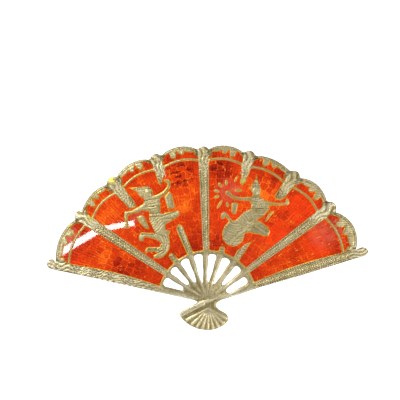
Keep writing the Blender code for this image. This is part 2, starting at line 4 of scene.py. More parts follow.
import bmesh
import bpy
import numpy as np
from mathutils import Matrix, Vector
from mathutils.geometry import delaunay_2d_cdt
from mathutils.kdtree import KDTree

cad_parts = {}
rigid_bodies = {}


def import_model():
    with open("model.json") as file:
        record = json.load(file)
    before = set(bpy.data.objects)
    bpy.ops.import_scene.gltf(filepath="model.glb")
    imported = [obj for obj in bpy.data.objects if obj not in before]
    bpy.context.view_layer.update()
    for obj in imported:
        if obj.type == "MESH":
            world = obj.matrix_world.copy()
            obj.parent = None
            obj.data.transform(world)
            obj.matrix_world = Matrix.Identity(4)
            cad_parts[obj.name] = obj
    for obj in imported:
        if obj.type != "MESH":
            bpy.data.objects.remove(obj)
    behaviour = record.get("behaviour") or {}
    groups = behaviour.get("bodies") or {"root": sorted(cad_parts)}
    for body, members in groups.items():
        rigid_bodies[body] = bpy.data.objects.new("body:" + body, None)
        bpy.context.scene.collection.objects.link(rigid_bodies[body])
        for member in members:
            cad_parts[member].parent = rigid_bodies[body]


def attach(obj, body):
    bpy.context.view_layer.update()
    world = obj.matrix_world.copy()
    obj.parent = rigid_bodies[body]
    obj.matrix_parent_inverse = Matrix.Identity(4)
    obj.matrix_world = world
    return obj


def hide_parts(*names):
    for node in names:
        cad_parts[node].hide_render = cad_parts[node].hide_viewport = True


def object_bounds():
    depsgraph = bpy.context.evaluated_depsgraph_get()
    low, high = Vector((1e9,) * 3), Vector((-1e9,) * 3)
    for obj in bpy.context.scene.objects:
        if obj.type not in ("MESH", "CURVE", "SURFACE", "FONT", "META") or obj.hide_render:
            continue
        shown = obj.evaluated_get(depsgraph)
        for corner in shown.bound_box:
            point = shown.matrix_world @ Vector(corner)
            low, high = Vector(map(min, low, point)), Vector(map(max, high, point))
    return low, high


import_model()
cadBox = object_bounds()

# Plan sizes are millimetres from the point where the sticks cross, +X right, +Y up the fan
mm = 0.001
plate = {
    "crossing": (-0.35, -11.83),        # where that point lies in the frame
    "domeRadius": 100.0,
    "domeTop": (0.25, 12.0),
    "crownBack": 4.74,                  # height of the back surface at the dome's top
    "thickness": 1.5,
    "cellDepth": 0.65,
}
# degrees from +X of each rib's middle line, from the right guard round to the left one
ribAngles = (14.7, 34.2, 52.3, 71.0, 88.8, 107.3, 126.0, 143.7, 164.3)
rightGuard, rightRib, centreRib, leftRib, leftGuard = 0, 1, 4, 7, 8       # those that run the whole way
sectorCount = len(ribAngles) - 1
leaf = {
    "leafInner": 9.45,
    # the thin arches between the panels and the border
    "archFoot": 26.4, "archRise": 0.42, "archHalf": 0.24,
    "archCrowns": (27.45, 27.0, 26.8, 26.75, 26.75, 26.9, 27.0, 27.4),
    # the scalloped rim
    "lobePeaks": (30.75, 29.9, 29.2, 29.25, 29.3, 29.45, 29.5, 30.1),
    "valley": 28.5, "valleySpread": 0.9, "valleyHalf": 1.35, "lobeFullness": 0.75,
    "knobRadius": 1.15, "knobRises": (0.0, 0.88, 0.6, 0.6, 0.4, 0.6, 0.6, 0.55),
    "guardMargin": 1.2,                 # degrees between a guard and its lobe
    # half widths at the sticks and at the arches
    "ribHalves": (0.58, 1.02), "guardHalves": (0.65, 0.9), "guardSwell": 0.45,
    "swellRadii": (12.0, 14.0, 16.0, 18.5, 21.0, 23.0, 25.0),       # points along a guard's curved side
}
upperStubs = {      # (radius, distance to the left of the rib's middle line)
    2: ((23.9, -0.85), (23.15, -0.4), (22.9, 0.5), (23.3, 0.95)),
    3: ((24.6, -0.7), (23.2, -0.7), (22.6, -0.2), (22.8, 0.35), (24.5, 0.4)),
    5: ((25.1, -0.75), (24.5, -0.1), (23.35, 0.65), (23.45, 1.0), (24.9, 1.05)),
    6: ((23.0, -0.95), (22.1, -0.6), (22.5, 0.65), (24.0, 0.8)),
}
lowerStubs = {
    2: ((12.5, -0.5), (14.0, -0.5), (12.3, 0.4), (10.8, 0.75)),
    3: ((10.4, -0.4), (10.5, 0.1), (10.3, 0.6)),
    5: ((14.7, -0.42), (15.3, 0.15), (15.1, 0.6), (14.3, 0.95)),
    6: ((10.9, -0.55), (11.3, 0.0), (11.0, 0.6)),
}
sticks = {
    # lower and upper end, and sideways lean, of each opening between two sticks
    "ends": (3.9, 4.0, 3.35, 3.4, 3.35, 3.9, 4.5, 4.9),
    "tops": (8.4, 8.6, 8.75, 8.8, 8.85, 8.85, 8.85, 8.9),
    "leans": (0.0, -0.05, -0.3, -0.35, -0.38, -0.38, -0.3, -0.15),
    "corner": 0.55,
    # distance from the crossing, half width
    "profile": ((3.2, 0.42), (5.6, 0.34), (7.0, 0.5), (7.9, 0.5), (8.85, 0.42)),
    "rightProfile": ((3.2, 0.05), (4.6, 0.1), (6.0, 0.35), (7.9, 0.7), (8.85, 0.8)),
    "leftProfile": ((3.2, 0.7), (8.85, 0.78)),
}
scroll = (      # share of the way along a border cell, height above its arch
    (0.0, 0.2), (0.0, 0.65), (0.04, 1.1), (0.12, 1.5), (0.21, 1.65), (0.235, 1.35), (0.225, 0.95),
    (0.25, 0.55), (0.31, 0.35), (0.38, 0.5), (0.41, 0.95), (0.42, 1.55), (0.455, 1.4), (0.49, 0.95),
    (0.54, 0.65), (0.6, 0.7), (0.63, 1.0), (0.62, 1.4), (0.7, 1.15), (0.8, 1.1), (0.93, 1.3),
    (0.9, 0.9), (0.91, 0.6), (1.0, 0.3),
)
# outer outline from the crossing along the right guard, and from the left guard back to it
rightTip = (
    (2.5, -0.05), (4.3, 0.35), (10.0, 2.0), (19.2, 4.2), (27.7, 6.35), (29.3, 6.7), (30.2, 6.95),
    (30.6, 7.4), (30.6, 7.9), (30.15, 8.4), (29.4, 8.55),
)
leftTip = (
    (-28.9, 9.25), (-29.6, 8.85), (-29.9, 8.2), (-29.6, 7.5), (-28.3, 7.05), (-20.0, 4.95), (-10.0, 2.2),
    (-2.4, 0.15),
)
handle = {
    "outline": (
        (-1.75, -0.28), (-3.4, -1.05), (-5.32, -1.95), (-5.5, -2.35), (-4.8, -3.4), (-3.6, -4.5),
        (-2.0, -5.3),
        (0.0, -5.65), (1.5, -5.4), (2.8, -4.8), (3.7, -4.0), (3.8, -3.3), (3.2, -2.5), (2.2, -1.95),
        (1.45, -1.2), (1.65, -0.55),
    ),
    "raysFrom": (0.1, -1.5),
    "rays": ((-4.1, -3.5), (-3.1, -4.3), (-2.2, -4.85), (-1.2, -5.2), (-0.2, -5.4), (0.8, -5.3), (1.8, -5.0),
             (2.7, -4.4), (3.4, -3.6)),
    "guardEnd": ((-0.9, -0.55), (-5.0, -2.1)),
    "crossBar": ((-1.6, -0.55), (3.0, 0.95)),
}
standingDancer = (
    (-13.8, 21.8), (-12.9, 21.35), (-12.1, 20.8), (-11.8, 20.1), (-11.0, 19.7), (-11.1, 18.7),
    (-12.5, 18.0),
    (-13.4, 17.5), (-14.7, 17.4), (-14.95, 16.4), (-14.6, 15.2), (-15.1, 14.2), (-13.9, 14.2),
    (-14.2, 15.2),
    (-14.2, 16.4), (-13.7, 16.9), (-12.6, 17.0), (-11.3, 17.4), (-10.1, 17.2), (-10.2, 15.6), (-9.6, 14.1),
    (-9.1, 13.1), (-10.3, 13.2), (-11.8, 13.4), (-12.35, 12.7), (-12.25, 11.7), (-11.4, 11.7),
    (-11.3, 12.4),
    (-10.4, 12.3), (-9.0, 11.8), (-8.1, 11.2), (-8.5, 10.5), (-9.6, 10.5), (-10.7, 10.55), (-11.35, 9.9),
    (-11.1, 9.3), (-10.6, 9.7), (-9.7, 9.65), (-8.9, 9.3), (-9.8, 8.9), (-9.6, 8.35), (-8.4, 8.3),
    (-7.3, 9.0),
    (-6.6, 10.2), (-6.5, 11.4), (-6.7, 12.6), (-6.2, 13.35), (-7.2, 13.6), (-7.2, 14.6), (-6.0, 15.2),
    (-4.4, 16.2), (-4.5, 17.15), (-6.2, 16.95), (-8.0, 16.6), (-7.9, 18.3), (-8.0, 19.5), (-6.7, 20.5),
    (-5.9, 21.6), (-5.8, 22.6), (-6.3, 23.15), (-7.0, 23.0), (-6.9, 22.6), (-6.45, 22.2), (-6.6, 21.6),
    (-7.3, 20.9), (-8.4, 20.3), (-9.4, 20.1), (-9.2, 20.9), (-9.6, 21.6), (-10.1, 22.0), (-11.2, 21.9),
)
kneelingDancer = (
    (10.3, 23.3), (10.05, 22.0), (9.4, 21.4), (9.0, 20.4), (9.45, 19.5), (9.3, 19.0), (7.0, 19.0),
    (5.7, 19.4),
    (5.3, 20.0), (4.9, 20.4), (4.4, 20.3), (4.3, 19.8), (4.9, 19.4), (5.6, 18.8), (7.0, 18.4), (8.8, 18.2),
    (9.1, 17.4), (8.9, 16.75), (7.6, 16.2), (6.6, 15.3), (5.9, 14.7), (5.3, 14.8), (4.4, 16.2), (3.9, 16.5),
    (3.3, 16.1), (3.2, 15.2), (3.8, 15.1), (4.1, 15.6), (4.75, 14.6), (3.9, 13.8), (3.35, 12.6),
    (3.4, 11.3),
    (4.2, 10.2), (5.4, 9.8), (6.5, 10.2), (7.1, 10.8), (7.4, 11.5), (7.6, 12.2), (8.4, 12.4), (9.2, 12.1),
    (10.2, 11.9), (11.1, 11.5), (12.0, 11.5), (12.4, 12.3), (12.0, 13.1), (11.0, 14.0), (9.9, 14.7),
    (10.9, 15.0), (11.7, 15.8), (12.6, 16.6), (12.2, 17.2), (14.0, 17.1), (15.9, 17.1),
    (16.3, 17.5), (16.0, 18.4),
    (15.65, 18.25), (15.4, 17.55), (13.2, 17.7), (12.0, 18.1), (10.9, 18.6), (10.8, 19.3), (11.0, 20.1),
    (10.95, 20.9), (10.55, 21.7),
)
ribbons = {      # beside the standing dancer on the left, and the kneeling one on the right
    "left": (
        ((-7.2, 19.8), (-6.6, 17.4), (-5.2, 17.6), (-5.7, 20.3), (-6.2, 20.8)),
        ((-12.6, 16.3), (-12.0, 15.1), (-11.0, 14.0), (-10.2, 13.9), (-11.0, 16.2), (-11.5, 16.6)),
    ),
    "right": (
        ((5.4, 18.0), (5.25, 16.3), (5.6, 15.9), (6.1, 15.9), (6.7, 17.9), (6.0, 18.1)),
        ((11.4, 14.3), (11.75, 14.2), (13.3, 16.0), (13.0, 16.2), (12.2, 15.6)),
    ),
}
petals = (      # centre, length, width, direction
    (3.4, 21.5, 1.1, 0.6, 125.0), (4.6, 21.9, 1.1, 0.6, 95.0), (2.7, 20.4, 1.15, 0.6, 165.0),
    (2.65, 19.3, 1.1, 0.58, 15.0), (6.8, 20.3, 1.5, 0.6, 0.0), (3.15, 17.9, 2.0, 0.5, 55.0),
    (4.6, 17.75, 1.1, 0.55, 100.0), (6.45, 22.5, 1.5, 0.38, 60.0),
)


# plan outlines
def polar(radius, degrees):
    turn = math.radians(degrees)
    return (radius * math.cos(turn), radius * math.sin(turn))


def beside(rib, radius, halfWidth, side):
    return polar(radius, ribAngles[rib] + side * math.degrees(math.asin(halfWidth / radius)))


def ribHalf(rib, radius):
    share = np.clip((radius - leaf["leafInner"]) / (leaf["archFoot"] - leaf["leafInner"]), 0, 1)
    if rib in (rightGuard, leftGuard):
        low, high = leaf["guardHalves"]
        return low + (high - low) * share + leaf["guardSwell"] * np.sin(math.pi * share)
    low, high = leaf["ribHalves"]
    return low + (high - low) * share


def valleyRadius(degrees):
    return leaf["valley"] + leaf["valleySpread"] * math.cos(math.radians(degrees)) ** 2


def rimPoints(steps=21):
    points = []
    for lobe, peak in enumerate(leaf["lobePeaks"]):
        start, end = ribAngles[lobe], ribAngles[lobe + 1]
        if lobe > 0:
            middle = polar(valleyRadius(start) + leaf["knobRises"][lobe] - leaf["knobRadius"], start)
            for turn in (-60, -45, -30, -15, 0, 15, 30, 45, 60):
                reach = polar(leaf["knobRadius"], start + turn)
                points.append((middle[0] + reach[0], middle[1] + reach[1]))
        margin = math.degrees(leaf["valleyHalf"] / leaf["valley"])
        low = start + (margin if lobe > 0 else leaf["guardMargin"])
        high = end - (margin if lobe < sectorCount - 1 else leaf["guardMargin"])
        for step in range(steps):
            share = step / (steps - 1)
            degrees = low + (high - low) * share
            valley = valleyRadius(degrees)
            rise = math.sin(math.pi * share) ** leaf["lobeFullness"]
            points.append(polar(valley + (peak - valley) * rise, degrees))
    return points


def stickHalf(rib, radius):
    key = {rightGuard: "rightProfile", leftGuard: "leftProfile"}.get(rib, "profile")
    return float(np.interp(radius, *zip(*sticks[key])))


def piercing(sector, steps=8):
    inner, outer = sticks["ends"][sector], sticks["tops"][sector]
    middle = (ribAngles[sector] + ribAngles[sector + 1]) / 2
    reach = outer - sticks["corner"] - inner
    radii = [inner + reach * (0.06 + 0.94 * step / steps) for step in range(steps + 1)]
    right = [beside(sector, radius, stickHalf(sector, radius), 1) for radius in radii]
    left = [beside(sector + 1, radius, stickHalf(sector + 1, radius), -1) for radius in reversed(radii)]
    shoulder = outer - 0.12
    top = [
        beside(sector, shoulder, stickHalf(sector, shoulder) + 0.3, 1),
        polar(outer, middle),
        beside(sector + 1, shoulder, stickHalf(sector + 1, shoulder) + 0.3, -1),
    ]
    loop = [polar(inner - 0.1, middle)] + right + top + left
    return [(x + sticks["leans"][sector] * (1.3 - 0.1 * math.hypot(x, y)), y) for x, y in loop]


def archRadius(sector, share):
    return leaf["archCrowns"][sector] - leaf["archRise"] * (1 - math.sin(math.pi * share))


def archSpan(sector):
    foot = leaf["archFoot"]
    start = ribAngles[sector] + math.degrees(ribHalf(sector, foot) / foot)
    end = ribAngles[sector + 1] - math.degrees(ribHalf(sector + 1, foot) / foot)
    return start, end


def archEdge(sector, side, steps=16):
    start, end = archSpan(sector)
    reach = side * leaf["archHalf"]
    return [
        polar(archRadius(sector, step / steps) + reach, start + (end - start) * step / steps)
        for step in range(steps + 1)
    ]


def stub(rib, baseRadius, profile):
    base = ribHalf(rib, baseRadius)
    rows = [(baseRadius, -base), *profile, (baseRadius, base)]
    return [beside(rib, radius, across, 1) for radius, across in rows]


def ribSide(rib, side, radii):
    return [beside(rib, radius, ribHalf(rib, radius), side) for radius in radii]


def panel(right, left):
    inner, swell = leaf["leafInner"], leaf["swellRadii"]
    points = []
    for sector in range(right, left):
        start, end = ribAngles[sector], ribAngles[sector + 1]
        points += [polar(inner, start + (end - start) * share) for share in (0.3, 0.5, 0.7)]
        if sector + 1 < left:
            points += stub(sector + 1, inner, lowerStubs[sector + 1])
    points += ribSide(left, -1, (inner, *swell) if left == leftGuard else (inner,))
    for sector in reversed(range(right, left)):
        points += reversed(archEdge(sector, -1))
        if sector > right:
            points += reversed(stub(sector, leaf["archFoot"], upperStubs[sector])[1:-1])
    points += ribSide(right, 1, (*reversed(swell), inner) if right == rightGuard else (inner,))
    return points


def borderCell(sector):
    start, end = archSpan(sector)
    bluntRight = sector % 2 == 1
    edge = []
    for along, height in scroll:
        share = along if bluntRight else 1 - along
        radius = archRadius(sector, share) + leaf["archHalf"] + height
        edge.append(polar(radius, start + (end - start) * share))
    if bluntRight:
        edge.reverse()
    return archEdge(sector, 1) + edge


def petal(x, y, length, width, degrees, steps=14):
    turn = math.radians(degrees)
    points = []
    for step in range(steps):
        angle = 2 * math.pi * step / steps
        along, across = length / 2 * math.cos(angle), width / 2 * math.sin(angle)
        points.append((
            x + along * math.cos(turn) - across * math.sin(turn),
            y + along * math.sin(turn) + across * math.cos(turn),
        ))
    return points


def eased(loop, reach, passes=3):
    points = np.array(loop, float)
    for step in range(passes):      # corners cut again and again, never deeper than reach
        back, ahead = np.roll(points, 1, 0) - points, np.roll(points, -1, 0) - points
        backLength = np.linalg.norm(back, axis=1, keepdims=True)
        aheadLength = np.linalg.norm(ahead, axis=1, keepdims=True)
        first = points + back * np.minimum(0.25, reach / backLength)
        last = points + ahead * np.minimum(0.25, reach / aheadLength)
        points = np.stack([first, last], 1).reshape(-1, 2)
        reach *= 0.5
    return points


def evenly(loop, step):
    points = np.array(loop, float)
    lengths = np.linalg.norm(np.roll(points, -1, 0) - points, axis=1)
    keep = lengths > 1e-4
    points = points[keep]
    lengths = np.linalg.norm(np.roll(points, -1, 0) - points, axis=1)
    marks = np.concatenate([[0], np.cumsum(lengths)])
    count = max(6, int(round(marks[-1] / step)))
    closed = np.vstack([points, points[:1]])
    at = np.arange(count) * marks[-1] / count
    return np.stack([np.interp(at, marks, closed[:, 0]), np.interp(at, marks, closed[:, 1])], 1)


def anticlockwise(ring):
    ahead = np.roll(ring, -1, 0)
    area = np.sum(ring[:, 0] * ahead[:, 1] - ahead[:, 0] * ring[:, 1])
    return ring if area > 0 else ring[::-1]


cut = {     # distance between points on every outline, and how far each kind of corner is rounded
    "step": 0.12,
    "outerCorner": 0.2, "piercingCorner": 0.25, "plainCorner": 0.05, "softCorner": 0.08,
    "scrollCorner": 0.05, "petalCorner": 0.02,
}


def ring(loop, corner):
    return anticlockwise(evenly(eased(loop, corner), cut["step"]))


outerRing = ring(list(rightTip) + rimPoints() + list(leftTip) + list(handle["outline"]), cut["outerCorner"])
piercingRings = [ring(piercing(sector), cut["piercingCorner"]) for sector in range(sectorCount)]
cellRings = {
    "enamel_panel_right": [ring(panel(rightGuard, rightRib), cut["plainCorner"])],
    "enamel_panel_kneeling_dancer": [ring(panel(rightRib, centreRib), cut["plainCorner"])],
    "enamel_panel_standing_dancer": [ring(panel(centreRib, leftRib), cut["plainCorner"])],
    "enamel_panel_left": [ring(panel(leftRib, leftGuard), cut["plainCorner"])],
}
kneelingRings = [ring(loop, cut["softCorner"]) for loop in (kneelingDancer, *ribbons["right"])]
kneelingRings += [ring(petal(*row), cut["petalCorner"]) for row in petals]
standingRings = [ring(loop, cut["softCorner"]) for loop in (standingDancer, *ribbons["left"])]
cellRings["enamel_panel_kneeling_dancer"] += kneelingRings
cellRings["enamel_panel_standing_dancer"] += standingRings
for sector in range(sectorCount):
    cellRings[f"enamel_border_{sector + 1}"] = [ring(borderCell(sector), cut["scrollCorner"])]
print("plan outlines:", 1 + len(piercingRings) + sum(map(len, cellRings.values())), "rings")


# sheets of triangles between rings
def insideRings(points, rings):
    inside = np.zeros(len(points), bool)
    for loop in rings:
        low, high = loop.min(0), loop.max(0)
        near = np.where(np.all((points > low) & (points < high), axis=1))[0]
        ahead = np.roll(loop, -1, 0)
        rise = ahead[:, 1] - loop[:, 1]
        rise[rise == 0] = 1e-12
        slope = (ahead[:, 0] - loop[:, 0]) / rise
        for start in range(0, len(near), 8000):
            some = near[start:start + 8000]
            x, y = points[some, 0:1], points[some, 1:2]
            crosses = (loop[None, :, 1] > y) != (ahead[None, :, 1] > y)
            crosses &= x < slope[None] * (y - loop[None, :, 1]) + loop[None, :, 0]
            inside[some] ^= crosses.sum(1) % 2 == 1
    return inside


class Boundary:
    def __init__(self, rings):
        self.points = np.vstack(rings)
        self.ahead = np.vstack([np.roll(loop, -1, 0) for loop in rings])
        self.back = np.vstack([np.roll(loop, 1, 0) for loop in rings])
        self.tree = KDTree(len(self.points))
        for index, (x, y) in enumerate(self.points):
            self.tree.insert((x, y, 0), index)
        self.tree.balance()

    def gap(self, places):
        index = np.array([self.tree.find((x, y, 0))[1] for x, y in places])
        here = self.points[index]
        nearest = np.full(len(places), 1e9)
        for other in (self.ahead[index], self.back[index]):
            side = other - here
            share = np.sum((places - here) * side, 1) / np.maximum(np.sum(side * side, 1), 1e-12)
            foot = here + side * np.clip(share, 0, 1)[:, None]
            nearest = np.minimum(nearest, np.linalg.norm(places - foot, axis=1))
        return nearest


def sheet(rings, step):
    low, high = rings[0].min(0), rings[0].max(0)
    columns = np.arange(low[0], high[0], step)
    rows = np.arange(low[1], high[1], step * math.sqrt(3) / 2)
    x, y = np.meshgrid(columns, rows)
    x = x + np.where(np.arange(len(rows)) % 2 == 1, step / 2, 0)[:, None]
    lattice = np.stack([x.ravel(), y.ravel()], 1)
    lattice = lattice[insideRings(lattice, rings)]
    if len(lattice):
        lattice = lattice[Boundary(rings).gap(lattice) > step * 0.5]
    points = np.vstack([*rings, lattice])
    edges, start = [], 0
    for loop in rings:
        edges += [(start + index, start + (index + 1) % len(loop)) for index in range(len(loop))]
        start += len(loop)
    made = delaunay_2d_cdt([Vector(point) for point in points], edges, [], 0, 1e-7, True)
    origin = np.array([owners[0] if owners else -1 for owners in made[3]])
    faces = origin[np.array(made[2])]
    faces = faces[np.all(faces >= 0, axis=1)]
    faces = faces[insideRings(points[faces].mean(1), rings)]
    return points, faces


def domeBack(points):
    x, y = points[:, 0] - plate["domeTop"][0], points[:, 1] - plate["domeTop"][1]
    return plate["crownBack"] - (x * x + y * y) / (2 * plate["domeRadius"])


def domeTop(points):
    return domeBack(points) + plate["thickness"]


def placed(points, heights):
    cross = plate["crossing"]
    return np.stack([points[:, 0] + cross[0], points[:, 1] + cross[1], heights], 1) * mm


def newObject(name, verts, faces, smoothAngle=50, fixNormals=True):
    mesh = bpy.data.meshes.new(name)
    mesh.from_pydata(verts.tolist() if hasattr(verts, "tolist") else verts, [], faces)
    if fixNormals:
        shape = bmesh.new()
        shape.from_mesh(mesh)
        bmesh.ops.recalc_face_normals(shape, faces=shape.faces)
        shape.to_mesh(mesh)
        shape.free()
    mesh.shade_smooth()
    mesh.set_sharp_from_angle(angle=math.radians(smoothAngle))
    obj = bpy.data.objects.new(name, mesh)
    bpy.context.scene.collection.objects.link(obj)
    return obj


def giveAttribute(obj, name, values):
    layer = obj.data.attributes.new(name, "FLOAT", "POINT")
    layer.data.foreach_set("value", np.asarray(values, np.float32))


# patterns for the chased surface
def wobble(x, y, size, seed):
    rng = np.random.default_rng(seed)
    grid = rng.uniform(-1, 1, (64, 64))
    u, v = x / size, y / size
    column, row = np.floor(u).astype(int), np.floor(v).astype(int)
    a, b = u - column, v - row
    a, b = a * a * (3 - 2 * a), b * b * (3 - 2 * b)
    pick = lambda i, j: grid[(row + j) % 64, (column + i) % 64]
    return (pick(0, 0) * (1 - a) + pick(1, 0) * a) * (1 - b) + (pick(0, 1) * (1 - a) + pick(1, 1) * a) * b


def wave(phase):
    return np.cos(2 * math.pi * phase)


def bump(value, width):
    return np.exp(-(value / width) ** 2)


def lift(value, low, high):
    share = np.clip((value - low) / (high - low), 0, 1)
    return share * share * (3 - 2 * share)


def segmentGap(x, y, start, end):
    sx, sy = end[0] - start[0], end[1] - start[1]
    share = np.clip(((x - start[0]) * sx + (y - start[1]) * sy) / (sx * sx + sy * sy), 0, 1)
    return np.hypot(x - start[0] - share * sx, y - start[1] - share * sy), share


relief = {      # all over the casting, mm
    "cellRound": 0.15, "cellDrop": 0.07,        # metal beside the enamel
    "rimRound": 0.34, "rimDrop": 0.2,           # cast outer edges
    "stipple": 0.018, "stippleSizes": (0.26, 0.17), "drift": 1.7,
}


class Metal:        # the casting's upper surface while its relief is worked out
    def __init__(self, points, cellGap, rimGap, inFigure):
        self.x, self.y = points[:, 0], points[:, 1]
        self.radius, self.angle = np.hypot(self.x, self.y), np.degrees(np.arctan2(self.y, self.x))
        self.cellGap, self.rimGap, self.inFigure = cellGap, rimGap, inFigure
        self.upper = (self.y > 0.0) & (self.radius > 1.0)
        self.height = -relief["rimDrop"] * (1 - np.clip(rimGap / relief["rimRound"], 0, 1)) ** 2
        self.height -= relief["cellDrop"] * (1 - np.clip(cellGap / relief["cellRound"], 0, 1)) ** 2
        self.bright = np.zeros(len(points))     # painted highlight: pale gilt on crests and ridges, where the light catches them
        coarse, fine = relief["stippleSizes"]
        self.detail = wobble(self.x, self.y, coarse, 3) + 0.6 * wobble(self.x, self.y, fine, 4)
        self.detail = relief["stipple"] * self.detail
        self.drift = wobble(self.x, self.y, relief["drift"], 5)

    def alongRib(self, rib):        # distance up a rib, and to the left of its middle line
        turn = math.radians(ribAngles[rib])
        along = self.x * math.cos(turn) + self.y * math.sin(turn)
        across = -self.x * math.sin(turn) + self.y * math.cos(turn)
        return along, across

    def shape(self, where, height=None, bright=None, detail=None):
        if height is not None:
            self.height = np.where(where, height, self.height)
        if bright is not None:
            self.bright = np.where(where, bright, self.bright)
        if detail is not None:
            self.detail = np.where(where, detail, self.detail)


guardCut = {
    "reach": 1.25,                                      # share of the guard's half width
    "sink": 0.08, "fall": 0.04,
    "bend": 0.42, "bendPitch": 3.9,
    "leafPitch": 0.5, "leafDepth": 0.06,                # wavy leaf strokes, left guard
    "zigzagPitch": 0.48, "zigzagDepth": 0.07, "zigzagLean": 0.6,    # rows, right guard
    "rowPitch": 0.55, "rowDepth": 0.03,
    "tip": (27.3, 28.6), "tipPitch": 0.62, "tipDepth": 0.05,
}
ribFoot = {"start": 9.2, "fade": (9.3, 10.0)}           # where the chasing begins


def cutGuard(metal, rib):
    along, across = metal.alongRib(rib)
    u = across / ribHalf(rib, along)
    zone = metal.upper & (along > ribFoot["start"]) & (np.abs(u) < guardCut["reach"]) & (metal.cellGap > 0.02)
    phase = 2 * math.pi * along / guardCut["bendPitch"] + 1.3 * np.sin(along / 3.1) + rib
    bend = guardCut["bend"] * np.sin(phase) + 0.35 * metal.drift
    if rib == leftGuard:
        strokes = wave((across + bend) / guardCut["leafPitch"]) * guardCut["leafDepth"]
        strokes = strokes * (0.45 + 0.55 * lift(along, 11, 18))
    else:
        zigzag = np.abs((across / 0.5) % 2 - 1)
        strokes = wave((along + guardCut["zigzagLean"] * zigzag) / guardCut["zigzagPitch"])
        strokes = strokes * guardCut["zigzagDepth"]
        strokes = strokes + guardCut["rowDepth"] * wave(across / guardCut["rowPitch"])
    body = -guardCut["fall"] * u ** 2 - guardCut["sink"] + strokes
    tip = lift(along, *guardCut["tip"])
    groove = wave((across + 0.3 * np.sin(along * 1.5)) / guardCut["tipPitch"]) * guardCut["tipDepth"]
    groove = groove - guardCut["sink"]
    body = body * (1 - tip) + groove * tip
    metal.shape(zone, height=metal.height + body * lift(along, *ribFoot["fade"]))
    # painted highlight on the crests of the leaf strokes, and of the grooves at the tip
    if rib == leftGuard:
        metal.shape(zone, bright=0.75 * lift(strokes, 0.0, 0.05))
    metal.shape(zone, bright=np.maximum(metal.bright, 0.7 * tip * lift(groove, -0.12, -0.04)))


ribCut = {
    "fall": 0.05, "sink": 0.06, "chevronPitch": 0.56, "chevronDepth": 0.05, "chevronSlope": 1.1,
    "sideGroove": 0.04, "sidePlace": 0.62,
}
headCut = {     # the feathered head of a rib, and its knob
    "start": 24.3, "reach": 1.9, "depth": 0.048, "knobDepth": 0.045, "knobFall": 0.1,
    "fan": 0.55, "fanOpens": 0.3, "barbPitch": 0.72,
    # strength of the painted highlight on each rib's feathered head
    "paintedShine": {rightRib: 1.0, leftRib: 1.0, 5: 0.6, 3: 0.6}, "otherPaintedShine": 0.4,
}


def cutRib(metal, rib):
    along, across = metal.alongRib(rib)
    half = ribHalf(rib, along)
    u = across / half
    zone = metal.upper & (along > ribFoot["start"]) & (np.abs(u) < 1.02)
    zone = zone & (along < headCut["start"] + 0.6) & ~metal.inFigure
    slope = along - ribCut["chevronSlope"] * np.abs(across)
    chevron = wave(slope / ribCut["chevronPitch"] + 0.2 * metal.drift)
    body = -ribCut["fall"] * u ** 2 - ribCut["sink"]
    body = body - ribCut["sideGroove"] * bump(np.abs(across) - ribCut["sidePlace"] * half, 0.1)
    body = body + ribCut["chevronDepth"] * chevron * lift(0.58 - np.abs(u), 0, 0.12)
    metal.shape(zone, height=metal.height + body * lift(along, *ribFoot["fade"]))


def cutHead(metal, rib):
    along, across = metal.alongRib(rib)
    head = metal.upper & (along > headCut["start"]) & (np.abs(across) < headCut["reach"]) & (metal.rimGap > 0)
    fan = across / (headCut["fan"] + headCut["fanOpens"] * np.clip(along - 26.0, 0, 3))
    sway = 0.3 * np.sin(along * 2.1)
    feather = wave(fan + 0.12 * metal.drift + sway)
    barbs = wave((along * 0.85 - np.abs(across) * 1.5) / headCut["barbPitch"])
    barbed = 0.5 * lift(26.2 - along, 0, 1)
    feather = feather * (1 - barbed) + barbed * barbs
    body = -0.05 - 0.04 * across ** 2 + headCut["depth"] * feather
    knobAt = valleyRadius(ribAngles[rib]) + leaf["knobRises"][rib] - leaf["knobRadius"]
    knobGap = np.hypot(along - knobAt, across)
    knob = -0.04 - headCut["knobFall"] * (knobGap / leaf["knobRadius"]) ** 2
    knob = knob + headCut["knobDepth"] * wave(fan + sway)
    onKnob = lift(leaf["knobRadius"] * 1.05 - knobGap, 0, 0.6)
    body = body * (1 - onKnob) + knob * onKnob
    reach = lift(headCut["reach"] - np.abs(across), 0, 0.5)
    reach = reach * lift(along, headCut["start"], headCut["start"] + 0.8)
    # painted highlight on the feather crests of the head
    paintedShine = headCut["paintedShine"].get(rib, headCut["otherPaintedShine"])
    paintedShine = np.maximum(metal.bright, paintedShine * reach * lift(feather, -0.1, 0.4))
    metal.shape(head, height=metal.height + body * reach, bright=paintedShine)


borderCut = {
    "archSink": 0.05, "archFall": 0.1,
    "hatchPitch": 0.42, "hatchDepth": 0.045,            # strokes across the lobes
    "wireWidth": 0.5, "wireGroove": 0.07,               # plain wire round the rim
}


